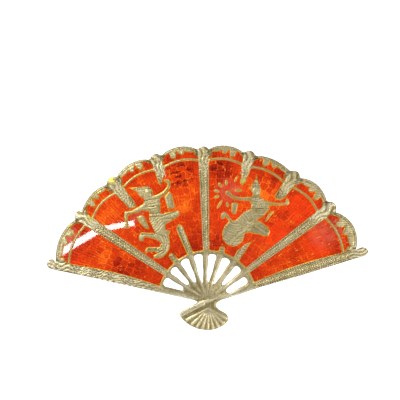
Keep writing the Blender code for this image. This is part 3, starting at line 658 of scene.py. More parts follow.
def cutBorder(metal, sector):
    start, end = archSpan(sector)
    share = (metal.angle - start) / (end - start)
    bow = leaf["archRise"] * (1 - np.sin(math.pi * np.clip(share, 0, 1)))
    off = metal.radius - (leaf["archCrowns"][sector] - bow)
    onArch = (share > 0) & (share < 1) & (np.abs(off) < 0.3) & metal.upper
    crown = -borderCut["archSink"] - borderCut["archFall"] * (off / leaf["archHalf"]) ** 2
    # painted highlight along the crown of the arch
    metal.shape(onArch, height=crown, bright=0.12 * bump(off, 0.1), detail=metal.detail * 0.5)
    lobe = (share > -0.02) & (share < 1.02) & (off > 0.3) & metal.upper
    hatch = wave(metal.angle * math.radians(1) * metal.radius / borderCut["hatchPitch"] + 0.5 * metal.drift)
    wire = borderCut["wireWidth"]
    pillow = -0.05 * (1 - np.clip(metal.cellGap / 0.45, 0, 1)) ** 2 - 0.04
    pillow = pillow - borderCut["wireGroove"] * bump(metal.rimGap - wire, 0.1)
    within = lift(metal.cellGap, 0.05, 0.3) * lift(metal.rimGap, wire, wire + 0.2)
    raised = metal.height + pillow + borderCut["hatchDepth"] * hatch * within
    # painted highlight on the crests of the hatch strokes
    metal.shape(lobe, height=raised, bright=0.5 * lift(hatch, 0.3, 0.8) * within)


stickCut = {
    "band": 9.15, "bandHalf": 0.33, "bandFall": 0.12,   # the ring that the sticks run into
    "end": 8.95, "valley": 0.11, "fineRay": 0.045,
}


def cutSticks(metal):
    radius = metal.radius
    phase = np.interp(metal.angle, ribAngles, np.arange(len(ribAngles)))
    band = radius - stickCut["band"]
    onBand = (np.abs(band) < stickCut["bandHalf"]) & metal.upper & (np.abs(phase - np.round(phase)) > 0.1)
    metal.shape(onBand, height=-0.02 - stickCut["bandFall"] * (band / 0.3) ** 2)
    valley = 0.5 - 0.5 * wave(phase)
    core = lift(radius, 1.2, 3.0)
    turned = -0.05 - stickCut["valley"] * valley * core * (1 - lift(radius, 4.8, 6.5))
    turned = turned - 0.1 * lift(0.3 - metal.rimGap, 0, 0.3)
    fineRay = stickCut["fineRay"] * wave(phase * 2 + 0.5) * core * (1 - lift(radius, 3.6, 4.6))
    # painted highlight along each stick's ridge
    ridgeHighlight = lift(0.22 - valley, 0, 0.18) * (0.5 + 0.45 * (1 - lift(radius, 5.0, 6.5)))
    onSticks = metal.upper & (radius < stickCut["end"])
    rounded = metal.height * 0.6 + turned + fineRay
    metal.shape(onSticks, height=rounded, bright=ridgeHighlight, detail=metal.detail * 0.7)


handleCut = {
    "top": 0.3, "reach": 6.5, "ground": 0.24,
    "barHeight": 0.28, "barWidth": 0.24, "guardHeight": 0.27,
}


def cutHandle(metal):
    x, y = metal.x, metal.y
    low = (y < handleCut["top"]) & (metal.radius < handleCut["reach"])
    ground = -handleCut["ground"] - 0.12 * (1 - np.clip(metal.rimGap / 0.4, 0, 1))
    raised = np.zeros(len(x))
    for end in handle["rays"]:
        gap, share = segmentGap(x, y, handle["raysFrom"], end)
        raised = np.maximum(raised, (0.1 + 0.12 * share) * bump(gap, 0.09 + 0.1 * share))
    gap, share = segmentGap(x, y, *handle["guardEnd"])
    raised = np.maximum(raised, handleCut["guardHeight"] * lift(0.42 + 0.3 * share - gap, 0, 0.22))
    gap, share = segmentGap(x, y, *handle["crossBar"])
    bar = handleCut["barHeight"] * bump(gap, handleCut["barWidth"])
    raised = np.maximum(raised, bar)
    # painted highlight on the raised rays and bars
    metal.shape(low, height=ground + raised, bright=np.clip(raised / 0.2, 0, 1) * 0.9)
    nearBar = ~low & (gap < 0.6) & (metal.radius < 4)
    metal.shape(nearBar, height=np.maximum(metal.height, -0.3 + bar))
    metal.shape(low, detail=metal.detail * 0.5)


dancerCuts = {
    "lineDepth": 0.085, "lineWidth": 0.11, "pleatPitch": 0.46, "pleatDepth": 0.05, "sink": 0.03, "fall": 0.11,
    "belts": (      # start and end of each cut
        ((-10.2, 16.75), (-7.9, 16.8)), ((-10.1, 16.1), (-7.6, 16.15)), ((-10.9, 18.2), (-8.0, 18.0)),
        ((-11.0, 19.2), (-8.1, 19.5)), ((-12.0, 21.3), (-9.4, 21.5)), ((-12.6, 21.5), (-9.9, 21.9)),
        ((-7.6, 16.2), (-5.0, 16.9)), ((-7.7, 15.6), (-5.6, 15.6)),
        ((8.9, 16.7), (12.3, 16.7)), ((9.4, 15.35), (11.6, 15.3)), ((9.3, 18.9), (10.9, 18.7)),
        ((9.1, 21.05), (10.95, 21.0)), ((9.4, 21.5), (10.8, 21.45)), ((9.95, 22.2), (10.5, 22.15)),
    ),
    "legs": (
        ((-9.3, 13.0), (-6.9, 12.2)), ((-8.2, 11.2), (-6.6, 11.0)), ((-8.6, 9.7), (-7.4, 9.6)),
        ((-11.9, 12.95), (-9.4, 12.75)), ((-10.6, 10.1), (-8.9, 9.95)),
        ((9.9, 13.6), (11.9, 12.2)), ((9.2, 13.3), (11.4, 11.8)), ((10.4, 13.9), (12.1, 12.8)),
        ((4.4, 10.9), (9.1, 14.7)), ((5.0, 10.3), (9.7, 14.2)),
    ),
    "pleats": (     # middle and reach of the patch, and the point that its pleats curve round
        ((-8.9, 14.6), 1.7, (-12.5, 18.5)), ((-7.4, 10.8), 2.2, (-9.6, 11.2)),
        ((-9.4, 18.3), 1.2, (-9.6, 21.5)),
        ((5.2, 12.0), 2.7, (6.4, 15.6)), ((7.4, 15.4), 1.7, (4.0, 12.5)), ((10.4, 17.6), 1.4, (10.2, 20.5)),
    ),
}


def cutDancers(metal):
    x, y = metal.x, metal.y
    folds = np.zeros(len(x))
    for start, end in dancerCuts["belts"] + dancerCuts["legs"]:
        gap, share = segmentGap(x, y, start, end)
        folds -= dancerCuts["lineDepth"] * bump(gap, dancerCuts["lineWidth"])
    for (cx, cy), reach, (ax, ay) in dancerCuts["pleats"]:
        near = lift(reach - np.hypot(x - cx, y - cy), 0, 0.5)
        curve = np.hypot(x - ax, y - ay) / dancerCuts["pleatPitch"] + 0.15 * np.sin(3.1 * x + 2.3 * y)
        folds += dancerCuts["pleatDepth"] * wave(curve) * near
    pillow = -dancerCuts["sink"] - dancerCuts["fall"] * (1 - np.clip(metal.cellGap / 0.4, 0, 1)) ** 2
    # painted highlight on the crests of the folds
    metal.shape(metal.inFigure, height=pillow + folds, bright=0.4 * lift(folds, 0.005, 0.04))


def castingRelief(points, cellGap, rimGap, inFigure):
    metal = Metal(points, cellGap, rimGap, inFigure)
    for rib in range(len(ribAngles)):
        if rib in (rightGuard, leftGuard):
            cutGuard(metal, rib)
        else:
            cutRib(metal, rib)
            cutHead(metal, rib)
    for sector in range(sectorCount):
        cutBorder(metal, sector)
    cutSticks(metal)
    cutHandle(metal)
    cutDancers(metal)
    return np.minimum(metal.height + metal.detail, 0.0), np.clip(metal.bright, 0, 1)


# the casting
castingMesh = {"topStep": 0.112, "floorStep": 1.2, "backStep": 0.7}
polish = {      # bright gilt left by polishing: plan place and reach
    "spots": (
        (-17.0, 23.4, 0.9), (7.9, 22.0, 0.7), (-25.0, 15.2, 0.5), (8.8, 21.0, 0.35), (-21.3, 16.5, 0.9),
    ),
}


def wallFaces(upperStart, lowerStart, size):
    here = np.arange(size)
    ahead = (here + 1) % size
    quads = np.stack([upperStart + here, upperStart + ahead, lowerStart + ahead, lowerStart + here], 1)
    return [quads[:, [0, 1, 2]], quads[:, [0, 2, 3]]]


def buildCasting():
    cells = [loop for rings in cellRings.values() for loop in rings]
    throughRings = [outerRing, *piercingRings]
    points, faces = sheet([*throughRings, *cells], castingMesh["topStep"])
    cellGap, rimGap = Boundary(cells).gap(points), Boundary(throughRings).gap(points)
    figures = kneelingRings + standingRings
    ringStart = {}
    start = 0
    for loop in [*throughRings, *cells]:
        ringStart[id(loop)] = start
        start += len(loop)
    inFigure = insideRings(points, figures)
    for loop in figures:
        inFigure[ringStart[id(loop)]:ringStart[id(loop)] + len(loop)] = True
    rise, bright = castingRelief(points, cellGap, rimGap, inFigure)
    verts = [placed(points, domeTop(points) + rise)]
    allFaces = [faces]
    count = len(points)

    floor = plate["thickness"] - plate["cellDepth"]
    for rings in cellRings.values():
        lowPoints, lowFaces = sheet(rings, castingMesh["floorStep"])
        verts.append(placed(lowPoints, domeBack(lowPoints) + floor))
        allFaces.append(lowFaces + count)
        at = count
        for loop in rings:
            allFaces += wallFaces(ringStart[id(loop)], at, len(loop))
            at += len(loop)
        count += len(lowPoints)
    backPoints, backFaces = sheet(throughRings, castingMesh["backStep"])
    verts.append(placed(backPoints, domeBack(backPoints)))
    allFaces.append(backFaces + count)
    at = count
    for loop in throughRings:
        allFaces += wallFaces(ringStart[id(loop)], at, len(loop))
        at += len(loop)
    obj = newObject("chased_casting", np.vstack(verts), np.vstack(allFaces).tolist(), 55)

    edgeGold, shadeAndTarnish, paintedShine, gleam = (np.zeros(count + len(backPoints)) for _ in range(4))
    top = slice(0, len(points))
    edgeGold[top] = 1 - lift(cellGap, 0.05, 0.17)
    lowPart = points[:, 1] < handleCut["top"]
    onSticks = ~lowPart & (np.hypot(points[:, 0], points[:, 1]) < 8.8)
    # painted shade with some tarnish, darker deeper in the hollows of the relief; on the handle, darker on
    # the ground between the raised rays
    hollowShadeAndTarnish = np.where(lowPart, -0.4 + 0.55 * (1 - bright), np.clip((-0.06 - rise) / 0.13, -1, 1))
    shadeAndTarnish[top] = hollowShadeAndTarnish * np.where(onSticks, 0.45, 1.0)
    paintedShine[top] = bright
    for cx, cy, reach in polish["spots"]:
        gap = np.hypot(points[:, 0] - cx, points[:, 1] - cy)
        gleam[top] = np.maximum(gleam[top], 1 - lift(gap, reach * 0.6, reach))
    giveAttribute(obj, "edgeGold", edgeGold)
    giveAttribute(obj, "shadeAndTarnish", shadeAndTarnish)
    giveAttribute(obj, "paintedShine", paintedShine)
    giveAttribute(obj, "gleam", gleam)
    return obj


casting = buildCasting()
print("casting:", len(casting.data.polygons), "faces")


# enamel
enamelFill = {
    "inset": 0.006, "belowRim": 0.06, "aboveFloor": 0.004,
    "meniscus": 0.003, "meniscusReach": 0.25,           # the glaze climbs a little at its walls
    "lattice": 0.34,
}


def drawnIn(loop, outer):
    ahead, back = np.roll(loop, -1, 0), np.roll(loop, 1, 0)
    along = ahead - back
    along /= np.linalg.norm(along, axis=1, keepdims=True)
    normal = np.stack([-along[:, 1], along[:, 0]], 1)       # to the left of an anticlockwise ring
    return loop + normal * enamelFill["inset"] * (1 if outer else -1)


def buildEnamel(name):
    rings = [drawnIn(loop, index == 0) for index, loop in enumerate(cellRings[name])]
    points, faces = sheet(rings, enamelFill["lattice"])
    gap = Boundary(rings).gap(points)
    climb = enamelFill["meniscus"] * (1 - np.clip(gap / enamelFill["meniscusReach"], 0, 1)) ** 2
    top = domeTop(points) - enamelFill["belowRim"] + climb
    floor = domeBack(points) + plate["thickness"] - plate["cellDepth"] + enamelFill["aboveFloor"]
    count = len(points)
    allFaces = [faces, faces[:, ::-1] + count]
    start = 0
    for loop in rings:
        here = start + np.arange(len(loop))
        ahead = start + (np.arange(len(loop)) + 1) % len(loop)
        allFaces.append(np.stack([here, here + count, ahead + count], 1))
        allFaces.append(np.stack([here, ahead + count, ahead], 1))
        start += len(loop)
    verts = np.vstack([placed(points, top), placed(points, floor)])
    obj = newObject("glazed_" + name.replace("enamel_", ""), verts, np.vstack(allFaces).tolist(), 40)
    giveAttribute(obj, "wallGap", np.concatenate([gap, gap]))
    return obj


enamelPieces = {name: buildEnamel(name) for name in cellRings}
enamelFaces = sum(len(piece.data.polygons) for piece in enamelPieces.values())
print("enamel:", len(enamelPieces), "cells,", enamelFaces, "faces")


# node helpers
class Nodes:
    def __init__(self, tree):
        self.tree = tree
        self.tree.nodes.clear()

    def add(self, kind, inputs=None, **settings):
        node = self.tree.nodes.new(kind)
        for key, value in settings.items():
            setattr(node, key, value)
        for key, value in (inputs or {}).items():
            self.feed(node, key, value)
        return node

    def feed(self, node, key, value):
        socket = node.inputs[key]
        if isinstance(value, bpy.types.NodeSocket):
            self.tree.links.new(value, socket)
        elif value is not None:
            socket.default_value = value

    def math(self, operation, first, second=None):
        values = {index: value for index, value in enumerate((first, second)) if value is not None}
        return self.add("ShaderNodeMath", values, operation=operation).outputs[0]

    def times(self, first, second):
        return self.math("MULTIPLY", first, second)

    def plus(self, first, second):
        return self.math("ADD", first, second)

    def minus(self, first, second):
        return self.math("SUBTRACT", first, second)

    def vector(self, operation, first, second=None):
        values = {index: value for index, value in enumerate((first, second)) if value is not None}
        return self.add("ShaderNodeVectorMath", values, operation=operation).outputs[0]

    def between(self, value, low, high, toLow=0.0, toHigh=1.0):
        inputs = {"Value": value, "From Min": low, "From Max": high, "To Min": toLow, "To Max": toHigh}
        return self.add("ShaderNodeMapRange", inputs, interpolation_type="SMOOTHSTEP").outputs[0]

    def mix(self, factor, first, second, blend="MIX"):
        node = self.add("ShaderNodeMix", data_type="RGBA", blend_type=blend)
        for index, value in ((0, factor), (6, first), (7, second)):
            self.feed(node, index, value)
        return node.outputs[2]

    def scaled(self, vector, factor):
        return self.add("ShaderNodeVectorMath", {0: vector, "Scale": factor}, operation="SCALE").outputs[0]

    def noise(self, vector, scale, detail=2.0, roughness=0.5):
        inputs = {"Vector": vector, "Scale": scale, "Detail": detail, "Roughness": roughness}
        return self.add("ShaderNodeTexNoise", inputs, noise_dimensions="3D").outputs["Fac"]

    def attribute(self, name):
        return self.add("ShaderNodeAttribute", attribute_name=name, attribute_type="GEOMETRY").outputs["Fac"]


def colour(red, green, blue):       # from 0-255 screen values
    share = lambda value: value / 12.92 if value <= 0.04045 else ((value + 0.055) / 1.055) ** 2.4
    return (share(red / 255), share(green / 255), share(blue / 255), 1.0)


def newMaterial(name):
    material = bpy.data.materials.new(name)
    material.use_nodes = True
    return material, Nodes(material.node_tree)


def planPosition(nodes):        # millimetres from the crossing
    place = nodes.add("ShaderNodeTexCoord").outputs["Object"]
    cross = plate["crossing"]
    return nodes.vector("SUBTRACT", nodes.scaled(place, 1 / mm), (cross[0], cross[1], 0.0))


def polarPosition(nodes, plan):
    parts = nodes.add("ShaderNodeSeparateXYZ", {0: plan})
    flat = nodes.add("ShaderNodeCombineXYZ", {0: parts.outputs[0], 1: parts.outputs[1]}).outputs[0]
    radius = nodes.add("ShaderNodeVectorMath", {0: flat}, operation="LENGTH").outputs["Value"]
    angle = nodes.math("ARCTAN2", parts.outputs[1], parts.outputs[0])
    return flat, radius, angle


# gilt
gilt = {
    "body": colour(204, 187, 134), "dark": colour(102, 86, 44), "edge": colour(250, 208, 52),
    # shine: colour of the painted highlights and glints on the gilt
    "olive": colour(190, 178, 96), "paintedShine": colour(250, 242, 212), "gleam": colour(214, 200, 84),
    "roughness": 0.36,
    "cloudSize": 0.35, "grainSize": 3.6, "fineSize": 9.0,       # noise cells in one mm
    "cutSize": 1.9, "burrSize": 2.3, "lineWidth": 0.045, "burrWidth": 0.04,
    "relief": 0.00004,
}


def chiselLines(nodes, place, size, width):       # thin lines where a noise crosses its middle
    away = nodes.math("ABSOLUTE", nodes.minus(nodes.noise(place, size, 1.0), 0.5))
    return nodes.between(away, 0.0, width, 1.0, 0.0)


def giltMaterial():
    material, nodes = newMaterial("chased_gilt")
    plan = planPosition(nodes)
    slow = nodes.noise(plan, gilt["cloudSize"], 3)
    grain = nodes.noise(plan, gilt["grainSize"], 3, 0.6)
    fine = nodes.noise(plan, gilt["fineSize"], 2, 0.6)
    # wandering chisel lines: dark cuts, and pale burrs between them with a painted glint
    cuts = chiselLines(nodes, plan, gilt["cutSize"], gilt["lineWidth"])
    moved = nodes.vector("ADD", plan, (7.3, 2.1, 0.0))
    burrs = chiselLines(nodes, moved, gilt["burrSize"], gilt["burrWidth"])
    dots = nodes.add("ShaderNodeTexVoronoi", {"Vector": plan, "Scale": gilt["grainSize"]}, feature="F1")
    pits = nodes.between(dots.outputs["Distance"], 0.0, 0.4, 0.25, 0.0)
    # painted shade and tarnish in the hollows of the relief, with random grain tone mixed in
    shadow = nodes.plus(nodes.times(nodes.attribute("shadeAndTarnish"), 0.6), nodes.times(grain, 0.8))
    tint = nodes.mix(nodes.between(shadow, 0.15, 1.05), gilt["body"], gilt["dark"])
    tint = nodes.mix(nodes.between(slow, 0.42, 0.66, 0.0, 0.5), tint, gilt["olive"], "MULTIPLY")
    # painted highlight on the crests of the chasing, mottled by the grain
    paintedShine = nodes.times(nodes.attribute("paintedShine"), nodes.between(grain, 0.3, 0.55))
    tint = nodes.mix(nodes.times(paintedShine, 0.85), tint, gilt["paintedShine"])
    tint = nodes.mix(nodes.times(burrs, 0.35), tint, gilt["paintedShine"])
    tint = nodes.mix(nodes.times(cuts, 0.4), tint, gilt["dark"])
    tint = nodes.mix(pits, tint, gilt["dark"])
    edge = nodes.times(nodes.attribute("edgeGold"), nodes.between(slow, 0.35, 0.55, 0.55, 1.0))
    tint = nodes.mix(nodes.times(edge, 0.95), tint, gilt["edge"])
    gleam = nodes.times(nodes.attribute("gleam"), nodes.between(grain, 0.3, 0.6, 0.3, 0.8))
    tint = nodes.mix(gleam, tint, gilt["gleam"])
    rough = nodes.between(grain, 0.3, 0.75, gilt["roughness"] - 0.06, gilt["roughness"] + 0.16)
    height = nodes.plus(nodes.times(fine, 0.5), nodes.times(grain, 1.0))
    height = nodes.minus(height, nodes.times(pits, 1.0))
    height = nodes.minus(height, nodes.times(cuts, 0.6))
    height = nodes.plus(height, nodes.times(burrs, 0.4))
    normal = nodes.add("ShaderNodeBump", {"Height": height, "Strength": 0.6, "Distance": gilt["relief"]})
    shader = nodes.add("ShaderNodeBsdfPrincipled", {
        "Base Color": tint, "Roughness": rough, "Normal": normal.outputs[0], "Metallic": 0.9,
    })
    nodes.add("ShaderNodeOutputMaterial", {"Surface": shader.outputs[0]})
    return material


chasedGilt = giltMaterial()


# red enamel over engraved ground
enamelLook = {
    "deep": colour(150, 22, 0), "body": colour(226, 62, 4), "orange": colour(255, 118, 22),
    "crack": colour(70, 8, 0), "fleck": colour(255, 176, 66), "thin": colour(238, 158, 44),
    "rays": 300.0,              # engraved lines in a whole turn
    "course": 1.3,              # height of one engraved course, mm
    "sweep": 17.0,              # blocks in one radian
    "relief": 0.00009,
    # patches of each kind: plan place and reach, mm
    "blockPlaces": (
        (-16.5, 8.0, 6.5), (11.5, 20.0, 5.0), (3.0, 23.5, 4.5), (-4.0, 23.5, 4.0), (14.0, 15.0, 4.0),
    ),
    "darkPlaces": (
        (-14.5, 6.6, 4.5), (-3.5, 24.2, 2.6), (3.4, 24.4, 2.8), (1.0, 10.5, 3.0), (-2.0, 10.8, 3.0),
    ),
    "orangePlaces": ((-18.5, 17.8, 4.6), (11.8, 19.9, 2.6), (-4.0, 19.0, 3.5)),
    "vivid": colour(250, 62, 8),
    "vividPlaces": (
        (18.6, 16.4, 4.5), (21.0, 9.4, 3.4), (13.6, 12.0, 3.5), (4.2, 15.2, 2.6), (-25.4, 8.0, 3.0),
    ),
    # pale haze painted where a soft reflection shows in the glaze
    "hazeReflection": colour(206, 100, 80),
    "hazeReflectionPlaces": (
        (22.2, 11.3, 3.4), (-26.4, 13.2, 2.8), (5.0, 20.4, 2.7), (-12.4, 16.4, 1.7), (24.9, 12.6, 2.2),
    ),
    "crackPlaces": ((-3.9, 24.0, 3.4), (3.4, 24.6, 2.6)),
}


def enamelMaterial():
    material, nodes = newMaterial("red_enamel_glaze")
    plan = planPosition(nodes)
    flat, radius, angle = polarPosition(nodes, plan)

    def near(places):
        total = None
        for x, y, reach in places:
            away = nodes.add("ShaderNodeVectorMath", {0: flat, 1: (x, y, 0.0)}, operation="DISTANCE")
            gap = away.outputs["Value"]
            spot = nodes.between(gap, reach * 0.35, reach * 1.1, 1.0, 0.0)
            total = spot if total is None else nodes.math("MAXIMUM", total, spot)
        return total

    times, plus, minus = nodes.times, nodes.plus, nodes.minus
    slow = nodes.noise(flat, 0.16, 2)
    patch = nodes.noise(flat, 0.45, 3, 0.55)
    grain = nodes.noise(flat, 3.0, 4, 0.65)
    drift = times(minus(nodes.noise(flat, 1.1, 2), 0.5), 1.1)
    # radial engraved lines, uneven in strength
    lines = nodes.math("SINE", plus(times(angle, enamelLook["rays"]), times(drift, 2.2)))
    ray = times(lines, nodes.between(nodes.noise(flat, 0.7, 2), 0.3, 0.65, 0.25, 1.0))
    # courses of uneven blocks that follow the arc
    course = nodes.math("DIVIDE", plus(radius, times(drift, 0.55)), enamelLook["course"])
    across = plus(times(angle, enamelLook["sweep"]), times(drift, 0.25))
    blocks = nodes.add("ShaderNodeCombineXYZ", {0: across, 1: course}).outputs[0]
    grid = {"Vector": blocks, "Scale": 1.0, "Randomness": 0.42}
    seams = nodes.add("ShaderNodeTexVoronoi", grid, feature="DISTANCE_TO_EDGE", voronoi_dimensions="2D")
    seam = nodes.between(seams.outputs["Distance"], 0.0, 0.09, 1.0, 0.0)
    tone = nodes.add("ShaderNodeTexVoronoi", grid, feature="F1", voronoi_dimensions="2D").outputs["Color"]
    tone = nodes.add("ShaderNodeSeparateColor", {0: tone}).outputs[0]
    chosen = times(near(enamelLook["blockPlaces"]), nodes.between(patch, 0.3, 0.5))
    blockZone = nodes.math("MAXIMUM", chosen, nodes.between(patch, 0.44, 0.58, 0.2, 0.7))
    value = plus(times(patch, 0.5), plus(times(slow, 0.45), 0.13))
    value = plus(value, times(ray, 0.07))
    value = plus(value, times(minus(grain, 0.5), 0.85))
    value = plus(value, times(times(minus(tone, 0.6), blockZone), 0.34))
    value = plus(value, times(times(seam, blockZone), 0.36))
    value = minus(value, times(near(enamelLook["darkPlaces"]), 0.14))
    value = plus(value, times(near(enamelLook["orangePlaces"]), 0.17))
    value = minus(value, nodes.between(radius, 9.5, 13.0, 0.08, 0.0))
    value = minus(value, nodes.between(radius, 24.5, 26.5, 0.0, 0.1))
    tint = nodes.mix(nodes.between(value, 0.2, 0.72), enamelLook["deep"], enamelLook["body"])
    tint = nodes.mix(nodes.between(value, 0.62, 1.02), tint, enamelLook["orange"])
    # purer red where the glaze is thick and clear
    vivid = times(near(enamelLook["vividPlaces"]), nodes.between(value, 0.35, 0.75, 0.25, 0.75))
    tint = nodes.mix(vivid, tint, enamelLook["vivid"])
    # dark cracks along some of the courses
    bent = plus(course, plus(times(drift, 0.8), times(grain, 0.3)))
    crackLine = nodes.math("ABSOLUTE", nodes.math("SINE", times(bent, 1.3 * math.pi)))
    crack = times(nodes.between(crackLine, 0.2, 0.6, 1.0, 0.0), near(enamelLook["crackPlaces"]))
    crack = times(crack, nodes.between(nodes.noise(flat, 0.8, 1), 0.47, 0.53))
    thinLine = nodes.between(crackLine, 0.0, 0.14, 1.0, 0.0)
    thinLine = times(thinLine, nodes.between(nodes.noise(flat, 1.3, 1), 0.5, 0.62))
    tint = nodes.mix(times(thinLine, 0.7), tint, enamelLook["deep"])
    tint = nodes.mix(times(crack, 0.85), tint, enamelLook["crack"])
    # bright flecks left by the graver
    stretched = nodes.add("ShaderNodeCombineXYZ", {0: times(angle, 40.0), 1: times(radius, 0.9)}).outputs[0]
    fleck = nodes.between(nodes.noise(stretched, 1.0, 2, 0.5), 0.65, 0.72)
    tint = nodes.mix(times(fleck, 0.6), tint, enamelLook["fleck"])
    # painted reflection: a pale haze over the glaze, standing for a soft lamp seen in it
    cloud = nodes.between(nodes.noise(flat, 0.9, 3, 0.6), 0.3, 0.65, 0.1, 0.55)
    hazeReflectionMask = times(near(enamelLook["hazeReflectionPlaces"]), cloud)
    tint = nodes.mix(hazeReflectionMask, tint, enamelLook["hazeReflection"])
    # thin glaze beside the walls shows the gold
    tint = nodes.mix(nodes.between(nodes.attribute("wallGap"), 0.0, 0.1, 0.3, 0.0), tint, enamelLook["thin"])
    height = plus(times(ray, 0.8), times(grain, 1.4))
    height = plus(height, times(times(seam, blockZone), 0.9))
    normal = nodes.add("ShaderNodeBump", {
        "Height": height, "Strength": 0.6, "Distance": enamelLook["relief"],
    })
    # the polished surface follows the dome exactly
    top = plate["domeTop"]
    fromTop = nodes.vector("SUBTRACT", flat, (top[0], top[1], -plate["domeRadius"]))
    polished = nodes.add(
        "ShaderNodeVectorTransform", {0: nodes.vector("NORMALIZE", fromTop)},
        vector_type="NORMAL", convert_from="OBJECT", convert_to="WORLD",
    )
    shader = nodes.add("ShaderNodeBsdfPrincipled", {
        "Base Color": tint, "Roughness": 0.45, "Metallic": 0.12, "Specular IOR Level": 0.05,
        "Normal": normal.outputs[0], "Coat Normal": polished.outputs[0],
        "Coat Weight": 0.85, "Coat Roughness": 0.03, "Coat IOR": 1.5,
    })
    nodes.add("ShaderNodeOutputMaterial", {"Surface": shader.outputs[0]})
    return material


redGlaze = enamelMaterial()


# chased beads and strokes that follow the ribs and the rim
def strokeTree():
    tree = bpy.data.node_groups.new("chased_strokes", "GeometryNodeTree")
    face = tree.interface
    face.new_socket("Geometry", in_out="INPUT", socket_type="NodeSocketGeometry")
    for label in ("Pitch", "Length", "Width", "Height", "Slant", "Jitter"):
        face.new_socket(label, in_out="INPUT", socket_type="NodeSocketFloat")
    face.new_socket("Seed", in_out="INPUT", socket_type="NodeSocketInt")
    face.new_socket("Finish", in_out="INPUT", socket_type="NodeSocketMaterial")
    face.new_socket("Geometry", in_out="OUTPUT", socket_type="NodeSocketGeometry")
    nodes = Nodes(tree)
    given = nodes.add("NodeGroupInput").outputs
    spacing = {"Curve": given["Geometry"], "Length": given["Pitch"]}
    evenPoints = nodes.add("GeometryNodeResampleCurve", spacing, mode="LENGTH")
    bead = nodes.add("GeometryNodeMeshUVSphere", {"Segments": 8, "Rings": 5, "Radius": 0.5})
    place = nodes.add("GeometryNodeInputPosition").outputs[0]
    cross, top = plate["crossing"], plate["domeTop"]
    flat = nodes.vector("MULTIPLY", place, (1.0, 1.0, 0.0))
    outward = nodes.vector("SUBTRACT", flat, (cross[0] + top[0], cross[1] + top[1], -plate["domeRadius"]))
    tangent = nodes.add("GeometryNodeInputTangent").outputs[0]
    upright = nodes.add("FunctionNodeAlignRotationToVector", {"Vector": outward}, axis="Z")
    ahead = nodes.add(
        "FunctionNodeAlignRotationToVector", {"Rotation": upright.outputs[0], "Vector": tangent},
        axis="X", pivot_axis="Z",
    )
    spread = nodes.add("FunctionNodeRandomValue", data_type="FLOAT")
    for socket in spread.inputs:
        if socket.name == "Seed":
            nodes.tree.links.new(given["Seed"], socket)
    floats = [socket for socket in spread.inputs if socket.type == "VALUE"]
    nodes.tree.links.new(nodes.times(given["Jitter"], -1.0), floats[0])
    nodes.tree.links.new(given["Jitter"], floats[1])
    wander = [socket for socket in spread.outputs if socket.type == "VALUE"][0]
    slant = nodes.plus(given["Slant"], wander)
    turn = nodes.add("FunctionNodeAxisAngleToRotation", {"Axis": (0.0, 0.0, 1.0), "Angle": slant})
    turned = nodes.add(
        "FunctionNodeRotateRotation", {"Rotation": ahead.outputs[0], "Rotate By": turn.outputs[0]},
        rotation_space="LOCAL",
    )
    grow = nodes.plus(nodes.times(wander, 0.6), 1.0)
    size = nodes.add("ShaderNodeCombineXYZ", {0: given["Length"], 1: given["Width"], 2: given["Height"]})
    size = nodes.scaled(size.outputs[0], grow)
    beads = nodes.add("GeometryNodeInstanceOnPoints", {
        "Points": evenPoints.outputs[0], "Instance": bead.outputs[0],
        "Rotation": turned.outputs[0], "Scale": size,
    })
    real = nodes.add("GeometryNodeRealizeInstances", {0: beads.outputs[0]})
    smooth = nodes.add("GeometryNodeSetShadeSmooth", {"Geometry": real.outputs[0]})
    surface = {"Geometry": smooth.outputs[0], "Material": given["Finish"]}
    finish = nodes.add("GeometryNodeSetMaterial", surface)
    nodes.add("NodeGroupOutput", {0: finish.outputs[0]})
    return tree


strokes = strokeTree()


def pathOn(points, sink):
    flat = np.array(points, float)
    cross = plate["crossing"]
    return np.stack([flat[:, 0] + cross[0], flat[:, 1] + cross[1], domeTop(flat) - sink], 1)


def ribPath(rib, share, start, end, sink):       # share of the half width, to the left of the middle
    side = 1 if share > 0 else -1
    points = []
    for radius in np.linspace(start, end, max(4, int((end - start) / 0.5))):
        points.append(beside(rib, radius, abs(share) * float(ribHalf(rib, radius)), side))
    return pathOn(points, sink)


def layStrokes(name, paths, sizes):
    curve = bpy.data.curves.new(name, "CURVE")
    curve.dimensions = "3D"
    for path in paths:
        line = curve.splines.new("POLY")
        line.points.add(len(path) - 1)
        line.points.foreach_set("co", np.column_stack([path, np.ones(len(path))]).ravel())
    holder = bpy.data.objects.new(name, curve)
    bpy.context.scene.collection.objects.link(holder)
    modifier = holder.modifiers.new("Strokes", "NODES")
    modifier.node_group = strokes
    for item in strokes.interface.items_tree:
        if item.in_out == "INPUT" and item.name in sizes:
            modifier[item.identifier] = sizes[item.name]
        elif item.in_out == "INPUT" and item.name == "Finish":
            modifier[item.identifier] = chasedGilt
    graph = bpy.context.evaluated_depsgraph_get()
    mesh = bpy.data.meshes.new_from_object(holder.evaluated_get(graph))
    bpy.data.objects.remove(holder)
    mesh.transform(Matrix.Scale(mm, 4))
    return mesh


def joined(name, meshes):
    shape = bmesh.new()
    for mesh in meshes:
        shape.from_mesh(mesh)
        bpy.data.meshes.remove(mesh)
    mesh = bpy.data.meshes.new(name)
    shape.to_mesh(mesh)
    shape.free()
    mesh.shade_smooth()
    mesh.materials.append(chasedGilt)
    obj = bpy.data.objects.new(name, mesh)
    bpy.context.scene.collection.objects.link(obj)
    return obj


